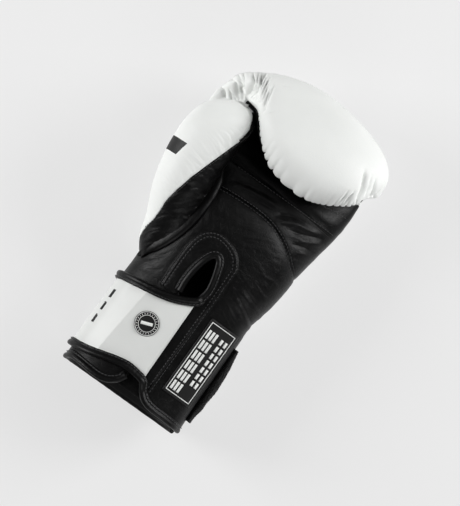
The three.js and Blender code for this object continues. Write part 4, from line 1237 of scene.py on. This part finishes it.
class GLOVE_OT_cuff(bpy.types.Operator):
    """Padded back of the cuff and the tongue behind the slit."""

    bl_idname = "glove.cuff"
    bl_label = "Cuff and tongue"

    def execute(self, context):
        start = HEM / PIVOT_Y
        station = np.linspace(start, (PAD_START + 1) / PIVOT_Y, 80)[:, None]
        left, right = seam_angles(station)
        share = np.linspace(0, 1, 180)
        angle = mix(left - 3, right + 3, share)
        y = station * PIVOT_Y
        puff = 0.8 * np.abs(np.sin(np.pi * (y - HEM) / 33)) ** 0.5 - 0.5
        puff = puff + 0.3 * drift(angle / 14, y / 17, 71)
        outer = on_form(station, angle, **lifted(puff))
        inner = on_form(station, angle, **hollow(station))
        points, parts = slab(outer, inner)
        cuff = piece("cuff_back_cover", points, parts, ["cuff_back"],
                     ["black_hide", "black_lining"], [0, 1, 0])
        middle = over_palm(TONGUE_MIDDLE)
        u, v = np.meshgrid(np.linspace(-0.5, 0.5, 70), np.linspace(-0.5, 0.5, 100))
        x, y = middle[0] + TONGUE_SIZE[0] * u, middle[1] + TONGUE_SIZE[1] * v
        rim = np.minimum((0.5 - np.abs(u)) * TONGUE_SIZE[0], (0.5 - np.abs(v)) * TONGUE_SIZE[1])
        top = -4.0 + 0.7 * (1 - np.exp(-rim / 1.2)) - 0.35 * np.exp(-((rim - 4) / 0.7) ** 2)
        outer, inner = on_palm(x, y, top), on_palm(x, y, -5.4)
        points, parts = slab(outer, inner)
        piece("tongue_cover", points, parts, ["tongue"], ["black_hide"])
        return {"FINISHED"}


def strap_edge(high, angle):
    """Distance of a strap edge from the cuff's end, at an angle round the cuff."""
    return STRAP_START + STRAP_WIDTH * (high + column(STRAP_EDGES, 2 if high else 1, angle))


class GLOVE_OT_strap(bpy.types.Operator):
    """White wrist strap with three short bars, and its hook-tape end."""

    bl_idname = "glove.strap"
    bl_label = "Strap"

    def execute(self, context):
        u, v = np.meshgrid(np.linspace(0, 1, 260), np.linspace(0, 1, 60))
        angle = mix(STRAP_EDGES[0, 0], STRAP_EDGES[-1, 0], u)
        low, high = strap_edge(0, angle) + 1.5, strap_edge(1, angle) - 1.5
        y = mix(low, high, v)
        edge = np.minimum(u * STRAP_ROUNDS[0], (1 - u) * STRAP_ROUNDS[1])
        rim = np.sqrt(np.clip(1 - (1 - np.clip(edge / 1.4, 0, 1)) ** 2, 0, 1))
        sag = 0.45 * drift(angle / 22, y / 34, 81) + 0.5 * np.sin(np.pi * v) - 0.3
        bend = np.abs(angle - mix(214, 206, v))
        sag = sag + 1.1 * np.exp(-bend / 5) - 0.5 * np.exp(-(((bend - 14) / 9) ** 2))
        outer = round_cuff(angle, y, 0.5 + 1.9 * rim + sag * rim)
        inner = round_cuff(angle, y, 0.3)
        points, parts = slab(outer, inner)
        middle = outer.reshape(-1, 3)[parts[0]].mean(1)
        bars = (middle[:, 2] > BAR_FLOOR) & (np.abs(middle[:, 0] - BAR_X) < BAR_HALF)
        bars &= middle[:, 1] % BAR_PITCH < BAR_LENGTH
        bars &= np.abs(middle[:, 1] - BAR_MIDDLE) < BAR_REACH
        parts = [parts[0][~bars], parts[0][bars], *parts[1:]]
        # The strap wears the darker copy of the white leather, its shade painted into the colour
        piece("strap_cover", points, parts, ["strap"],
              ["shaded_strap_hide", "printed_leather"], [0, 1, 0, 0])
        self.tab()
        return {"FINISHED"}

    @staticmethod
    def tab():
        """The strap's end: a soft bulge off the cuff with a rough pile edge and loose fibres."""
        u, v = np.meshgrid(np.linspace(0, 1, 60), np.linspace(0, 1, 110))
        swell = TAB_BULGE * np.sin(np.pi * u) ** 0.6 * np.sin(np.pi * mix(0.12, 0.88, v))
        rough = 0.35 * drift(u * 34, v * 62, 91) + 0.5 * drift(u * 5, v * 9, 92)
        y = STRAP_START + STRAP_WIDTH * mix(0.03, 1.07, v) + 0.8 * drift(v * 8, u * 3, 93) * u
        angle = mix(65, 98, u)
        outer = round_cuff(angle, y, 2.3 + swell + rough)
        inner = round_cuff(angle, y, 0.35 + swell)
        points, parts = slab(outer, inner)
        piece("strap_end_cover", points, parts, ["strap_end"], ["hook_pile"])
        random = np.random.default_rng(5)
        count = 900
        row, col = random.integers(1, 109, count), random.integers(2, 58, count)
        foot = outer[row, col]
        out = normals(outer)[row, col]
        out *= np.sign(out[:, :1])
        lean = unit(out + random.normal(0, 0.45, (count, 3)))
        length = random.uniform(0.5, 1.3, count)[:, None]
        points, faces = slivers(foot - 0.2 * out, lean, length, 0.11)
        piece("hook_fibres", points, faces, None, ["hook_pile"])


def slivers(feet, heading, length, radius):
    """Thin three-sided spikes from feet along headings."""
    other = unit(np.cross(heading, [0.3, 0.5, 0.8]))
    third = np.cross(heading, other)
    turns = np.radians([0, 120, 240])
    ring = [feet + radius * (np.cos(t) * other + np.sin(t) * third) for t in turns]
    points = np.stack([*ring, feet + heading * length], 1).reshape(-1, 3)
    base = 4 * np.arange(len(feet))[:, None]
    faces = np.concatenate([base + [0, 1, 3], base + [1, 2, 3], base + [2, 0, 3], base + [0, 2, 1]])
    return points, [faces]


class GLOVE_OT_bindings(bpy.types.Operator):
    """Bindings over the strap's edges, the slot and the open edges of the cuff."""

    bl_idname = "glove.bindings"
    bl_label = "Bindings"

    def execute(self, context):
        sizes = context.scene.glove_sizes
        half_width, half_height = 500 * sizes.binding_width, 500 * sizes.binding_height
        ring = smooth_line(BINDING_RING, 30) * [half_width, half_height]
        for name, (path, up, side) in binding_paths().items():
            at = np.arange(len(path))[:, None, None]
            profile = ring[None, ::-side] * [side, 1]
            pull = 0.16 * np.abs(drift(at / 2.6, 0 * at, 102)) * (profile[..., 1:] > 0)
            swell = 1 + 0.035 * drift(at / 6, profile[..., :1] / 3, 101)
            profile = profile * swell - [0, 1] * pull
            points, faces = carried(path, up, profile)
            piece(name + "_cover", points, faces, [name], ["black_binding"])
        return {"FINISHED"}


def binding_paths():
    """Middle lines of the three bindings, the way out of the form at each point, and 1 where the
    leather lies to the right of the run or -1 where it lies to the left."""
    on_strap = 2.6 + GAP
    inset = -PALM_WALL / 3

    def on_edge(high, lift):
        """Along an edge of the strap."""
        angle = np.linspace(STRAP_EDGES[-1, 0], STRAP_EDGES[0, 0], 49)
        return round_cuff(angle, strap_edge(high, angle), on_strap + lift)

    def over(rows, lift):
        """Along a line over the palm."""
        flat = over_palm(rows)
        return on_palm(flat[:, 0], flat[:, 1], inset + lift + 0.9)

    def hem(angles, y, lift):
        """Round the cuff at a distance from its end."""
        angles = np.asarray(angles, float)
        return round_cuff(angles, np.full_like(angles, y), inset + lift)

    def upper(lift):
        """Along the strap's upper edge and round the slot."""
        return np.concatenate([on_edge(1, lift), over(SLOT_EDGE, lift + 1.1)])

    def lower(lift):
        """Along the strap's lower edge and the cuff's on the little-finger side."""
        return np.concatenate([
            on_edge(0, lift), over(CUFF_EDGE_FINGER_SIDE, lift),
            hem([100, 90, 80], 0.025 * PIVOT_Y, lift),
        ])

    def back(lift):
        """Round the back of the cuff and along its edge on the thumb side."""
        return np.concatenate([
            hem(np.linspace(68, -95, 25), HEM, lift), over(CUFF_EDGE_THUMB_SIDE[::-1], lift),
        ])

    paths = {}
    for name, line, count, side in (
        ("binding_upper", upper, 420, 1), ("binding_lower", lower, 400, -1),
        ("binding_back", back, 360, -1),
    ):
        path, above = smooth_line(line(0.0), count), smooth_line(line(1.0), count)
        paths[name] = (path, above - path, side)
    return paths


class GLOVE_OT_facings(bpy.types.Operator):
    """Label on the little-finger side and round badge on the strap, with plain bars and rings."""

    bl_idname = "glove.facings"
    bl_label = "Label and badge"

    def execute(self, context):
        self.label()
        self.badge()
        return {"FINISHED"}

    @staticmethod
    def label():
        """A raised plate, a printed frame along its rim and columns of printed bars in it."""
        middle = over_palm(LABEL_MIDDLE)
        wide, tall = LABEL_SIZE
        u, v = np.meshgrid(np.linspace(-0.5, 0.5, 60), np.linspace(-0.5, 0.5, 150))
        rim = np.minimum((0.5 - np.abs(u)) * wide, (0.5 - np.abs(v)) * tall)
        round_off = np.sqrt(np.clip(1 - (1 - np.clip(rim / 0.7, 0, 1)) ** 2, 0, 1))
        x, y = middle[0] + wide * u, middle[1] + tall * v
        base = palm_relief(x, y)
        outer, inner = on_palm(x, y, base + 0.3 + 0.9 * round_off), on_palm(x, y, base)
        points, parts = slab(outer, inner)
        piece("label_cover", points, parts, ["label"], ["printed_leather"])
        hx, hy = wide / 2 - FRAME_MARGIN[0], tall / 2 - FRAME_MARGIN[1]
        bars = [
            (-hx, -hx + FRAME_WIDTH, -hy, hy), (hx - FRAME_WIDTH, hx, -hy, hy),
            (-hx, hx, -hy, -hy + FRAME_WIDTH), (-hx, hx, hy - FRAME_WIDTH, hy),
        ]
        for side, near, far, first, last, pitch in BAR_COLUMNS:
            for y0 in np.arange(-hy + first, hy - last - 0.6 * pitch, pitch):
                bars.append((side * hx + near, side * hx + far, y0, y0 + pitch - BAR_GAP))
        points, faces = joined([palm_plate(middle, *bar, LABEL_PRINT) for bar in bars])
        piece("label_bars", points, faces, None, ["white_print"])

    @staticmethod
    def badge():
        """A raised disc with two printed rings, a wheel of spokes between them and a bar."""
        middle = over_palm(BADGE_MIDDLE)
        points, faces = joined([disc(middle, 0.0, BADGE_RADIUS, 12, BADGE_LIFT, BADGE_THICK)])
        piece("badge_cover", points, faces, ["badge"], ["printed_leather"])
        top = BADGE_LIFT + BADGE_THICK
        prints = [disc(middle, low, high, 2, top, PRINT_THICK) for low, high in BADGE_RINGS]
        prints += [spoke(middle, np.radians(turn), *BADGE_SPOKES, top)
                   for turn in range(0, 360, SPOKE_TURN)]
        prints.append(palm_plate(middle, *BADGE_BAR, top + 0.05, BADGE_BAR_TURN))
        points, faces = joined(prints)
        piece("badge_rings", points, faces, None, ["white_print"])


def joined(bodies):
    """Several closed bodies as one list of points and faces."""
    points, faces, start = [], [], 0
    for body, parts in bodies:
        sign = 1 if sum(volume(body, part) for part in parts) > 0 else -1
        faces += [part[:, ::sign] + start for part in parts]
        points.append(body)
        start += len(body)
    widths = sorted({part.shape[1] for part in faces})
    grouped = [np.concatenate([part for part in faces if part.shape[1] == w]) for w in widths]
    return np.concatenate(points), grouped


def palm_plate(middle, x0, x1, y0, y1, height, turn=0.0):
    """A thin raised bar on the palm's side of the cuff."""
    cols, rows = max(2, int((x1 - x0) / 1.5) + 2), max(2, int((y1 - y0) / 1.5) + 2)
    u, v = np.meshgrid(np.linspace(x0, x1, cols), np.linspace(y0, y1, rows))
    a = np.radians(turn)
    x = middle[0] + u * np.cos(a) - v * np.sin(a)
    y = middle[1] + u * np.sin(a) + v * np.cos(a)
    base = palm_relief(x, y) if turn == 0 else 0.0
    outer, inner = on_palm(x, y, base + height + PRINT_THICK), on_palm(x, y, base + height - 0.15)
    return slab(outer, inner)


def disc(middle, low, high, rings, lift, thick):
    """A flat ring or disc on the strap, between two radii, with a rounded rim."""
    radius = np.linspace(max(low, 0.05), high, rings)[:, None]
    turn = np.linspace(0, 2 * np.pi, 97)[None, :-1]
    x, y = middle[0] + radius * np.cos(turn), middle[1] + radius * np.sin(turn)
    rounding = (radius / high) ** 10 if low == 0 else 0
    crown = thick * np.sqrt(np.clip(1 - rounding, 0, 1))
    outer, inner = on_palm(x, y, lift + crown), on_palm(x, y, lift - 0.3)
    return slab(outer, inner, wrap=True)


def spoke(middle, turn, low, high, width, lift):
    """A short tick between two radii."""
    u, v = np.meshgrid(np.linspace(low, high, 3), np.linspace(-width / 2, width / 2, 2))
    x = middle[0] + u * np.cos(turn) - v * np.sin(turn)
    y = middle[1] + u * np.sin(turn) + v * np.cos(turn)
    outer, inner = on_palm(x, y, lift + PRINT_THICK), on_palm(x, y, lift - 0.2)
    return slab(outer, inner)


class GLOVE_OT_stitching(bpy.types.Operator):
    """Rows of stitches along the seams, the patch, the welt, the bindings and the thumb's seam."""

    bl_idname = "glove.stitching"
    bl_label = "Stitching"

    def execute(self, context):
        sizes = context.scene.glove_sizes
        rows = []
        for curve, offsets, lift in STITCH_ROWS:
            rows += self.palm_row(CURVES[curve], offsets, lift)
        wide, high = 500 * sizes.binding_width, 500 * sizes.binding_height
        for path, up, side in binding_paths().values():
            across = path_frame(path, up)[1]
            rows.append((path + 0.95 * wide * side * across + up * (0.56 * high + 0.15), up))
        along = np.linspace(0.49, 0.96, 120)
        seam = column(THUMB_ROWS, 5, along) - 3.0
        path = on_thumb(along, seam, -0.3)
        rows.append((path, on_thumb(along, seam, 0.7) - path))
        points, faces = joined([self.row(path, up, sizes) for path, up in rows])
        piece("black_stitches", points, faces, None, ["black_thread"])
        return {"FINISHED"}

    @staticmethod
    def palm_row(line, offsets, lift):
        """Paths beside a line on the palm, at offsets to its left."""
        dense = smooth_line(line, 160)
        run = unit(np.gradient(dense, axis=0))
        left = np.stack([-run[:, 1], run[:, 0]], -1)
        made = []
        for offset in offsets:
            flat = dense + offset * left
            x, y = flat[:, 0], flat[:, 1]
            middle, half = section(y / fold_line(x))[:2]
            keep = np.abs((x - middle) / half) < 0.97
            x, y = x[keep], y[keep]
            height = palm_relief(x, y) + lift
            path = on_palm(x, y, height)
            made.append((path, on_palm(x, y, height + 1.0) - path))
        return made

    @staticmethod
    def row(path, up, sizes):
        """Thread along a path: short arched beads with a gap between each and the next."""
        pitch, length = 1000 * sizes.stitch_pitch, 1000 * sizes.stitch_length
        radius = 500 * sizes.stitch_thickness
        steps = np.concatenate([[0], np.cumsum(np.linalg.norm(np.diff(path, axis=0), axis=1))])
        count = max(int(steps[-1] / pitch), 1)
        middle = (np.arange(count) + 0.5) * pitch
        offsets = np.linspace(-0.5, 0.5, 5) * length
        at = middle[:, None] + offsets
        place = np.stack([np.interp(at, steps, path[:, k]) for k in range(3)], -1)
        lift = np.stack([np.interp(middle, steps, up[:, k]) for k in range(3)], -1)
        lift = unit(lift)
        run = unit(place[:, -1] - place[:, 0])
        across = np.cross(run, lift)
        arch = radius * np.array([-0.5, 0.45, 0.7, 0.45, -0.5])
        thick = radius * np.array([0.55, 1.0, 1.0, 1.0, 0.55])
        t = np.radians([0, 72, 144, 216, 288])
        rise, swing = arch[:, None] + thick[:, None] * np.sin(t), thick[:, None] * np.cos(t)
        ring = (
            place[:, :, None]
            + lift[:, None, None] * rise[None, ..., None]
            + across[:, None, None] * swing[None, ..., None]
        )
        points = ring.reshape(-1, 3)
        one = cells(5, 5, wrap=True)
        start = 25 * np.arange(count)[:, None, None]
        faces = (one[None] + start).reshape(-1, 4)
        caps = np.array([[4, 3, 2, 1, 0], [20, 21, 22, 23, 24]])
        return points, [faces, (caps[None] + start).reshape(-1, 5)]


class GLOVE_OT_stage(bpy.types.Operator):
    """Pale floor that glows as painted light, soft lights and the camera over the palm."""

    bl_idname = "glove.stage"
    bl_label = "Floor, lights and camera"

    def execute(self, context):
        colours = context.scene.glove_colours
        tree, shader = finish("glowing_floor_paper", colours.floor, 0.9, 0.1)
        # The floor glows as well as reflecting: painted light that keeps it evenly pale, fills in
        # the glove's shadow on it and lights the glove from below
        shader.inputs["Emission Color"].default_value = (1, 1, 1, 1)
        shader.inputs["Emission Strength"].default_value = FLOOR_GLOW
        mottle = node(tree, "ShaderNodeTexNoise", (("Scale", 60.0), ("Detail", 3.0)))
        place = node(tree, "ShaderNodeTexCoord").outputs["Object"]
        tree.links.new(place, mottle.inputs["Vector"])
        dark = 0.985 * np.array(colours.floor)
        tree.links.new(tinted(tree, mottle.outputs["Fac"], dark, colours.floor),
                       shader.inputs["Base Color"])
        mesh = bpy.data.meshes.new("floor")
        u, v = np.meshgrid(*[np.linspace(-FLOOR_HALF, FLOOR_HALF, 9)] * 2)
        corners = np.stack([u, v, 0 * u], -1).reshape(-1, 3)
        mesh.from_pydata(corners.tolist(), [], cells(9, 9).tolist())
        mesh.materials.append(bpy.data.materials["glowing_floor_paper"])
        floor = bpy.data.objects.new("floor", mesh)
        context.collection.objects.link(floor)
        floor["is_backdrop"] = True
        right, up, target = Vector(PICTURE_RIGHT), Vector(PICTURE_UP), Vector(TARGET)
        for name, along, over, height, size, share in LIGHTS:
            place = target + along * right + over * up + Vector((0, 0, height))
            self.lamp(name, place, target, size, share * colours.key_power)
        world = bpy.data.worlds.new("studio")
        world.use_nodes = True
        sky = world.node_tree.nodes["Background"]
        sky.inputs["Color"].default_value = (1, 1, 1, 1)
        sky.inputs["Strength"].default_value = WORLD_GLOW
        context.scene.world = world
        self.camera(context, target, right)
        context.scene.view_settings.view_transform = "Standard"
        return {"FINISHED"}

    @staticmethod
    def lamp(name, place, target, size, power_watts):
        """A square soft light that faces the glove."""
        data = bpy.data.lights.new(name, "AREA")
        data.shape = "SQUARE"
        data.size = size
        data.energy = power_watts
        lamp = bpy.data.objects.new(name, data)
        turned = (place - target).to_track_quat("Z", "Y").to_matrix().to_4x4()
        lamp.matrix_world = Matrix.Translation(place) @ turned
        bpy.context.collection.objects.link(lamp)

    @staticmethod
    def camera(context, target, right):
        """A long lens almost straight over the palm, leaning a little towards the cuff."""
        lean = np.radians(CAMERA_LEAN)
        cuff = Vector((0, -1, 0))
        back = Vector((0, 0, 1)) * np.cos(lean) + cuff * np.sin(lean)
        side = (right - right.dot(back) * back).normalized()
        over = back.cross(side)
        data = bpy.data.cameras.new("camera")
        data.sensor_fit = "VERTICAL"
        data.sensor_height = SENSOR_HEIGHT
        data.lens = SENSOR_HEIGHT * CAMERA_DISTANCE / PICTURE_HEIGHT
        data.clip_end = 20.0
        camera = bpy.data.objects.new("camera", data)
        place = target + CAMERA_DISTANCE * back
        camera.matrix_world = Matrix((
            (side.x, over.x, back.x, place.x), (side.y, over.y, back.y, place.y),
            (side.z, over.z, back.z, place.z), (0, 0, 0, 1),
        ))
        context.collection.objects.link(camera)
        context.scene.camera = camera


class GLOVE_PT_panel(bpy.types.Panel):
    """Lists the glove's settings and the steps that build it."""

    bl_idname = "GLOVE_PT_panel"
    bl_label = "Boxing glove"
    bl_space_type = "VIEW_3D"
    bl_region_type = "UI"
    bl_category = "Glove"

    def draw(self, context):
        for group in (context.scene.glove_sizes, context.scene.glove_colours):
            for key in group.__annotations__:
                self.layout.prop(group, key)
        for operator in STEPS:
            self.layout.operator(operator.bl_idname)


STEPS = (
    GLOVE_OT_materials, GLOVE_OT_knuckles, GLOVE_OT_palm, GLOVE_OT_thumb, GLOVE_OT_cuff,
    GLOVE_OT_strap, GLOVE_OT_bindings, GLOVE_OT_facings, GLOVE_OT_stitching, GLOVE_OT_stage,
)
CLASSES = (GloveSizes, GloveColours, *STEPS, GLOVE_PT_panel)


def register():
    """Registers the classes and gives the scene their settings."""
    for cls in CLASSES:
        bpy.utils.register_class(cls)
    bpy.types.Scene.glove_sizes = bpy.props.PointerProperty(type=GloveSizes)
    bpy.types.Scene.glove_colours = bpy.props.PointerProperty(type=GloveColours)


def unregister():
    """Takes the settings and the classes away again."""
    del bpy.types.Scene.glove_sizes
    del bpy.types.Scene.glove_colours
    for cls in reversed(CLASSES):
        bpy.utils.unregister_class(cls)


def main():
    """Builds every piece in order and works out the two boxes."""
    register()
    for operator in STEPS:
        group, name = operator.bl_idname.split(".")
        getattr(getattr(bpy.ops, group), name)()
    boxes = {"cad": CAD_BOX, "visual": [list(corner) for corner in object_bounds()]}


if __name__ == "__main__":
    main()
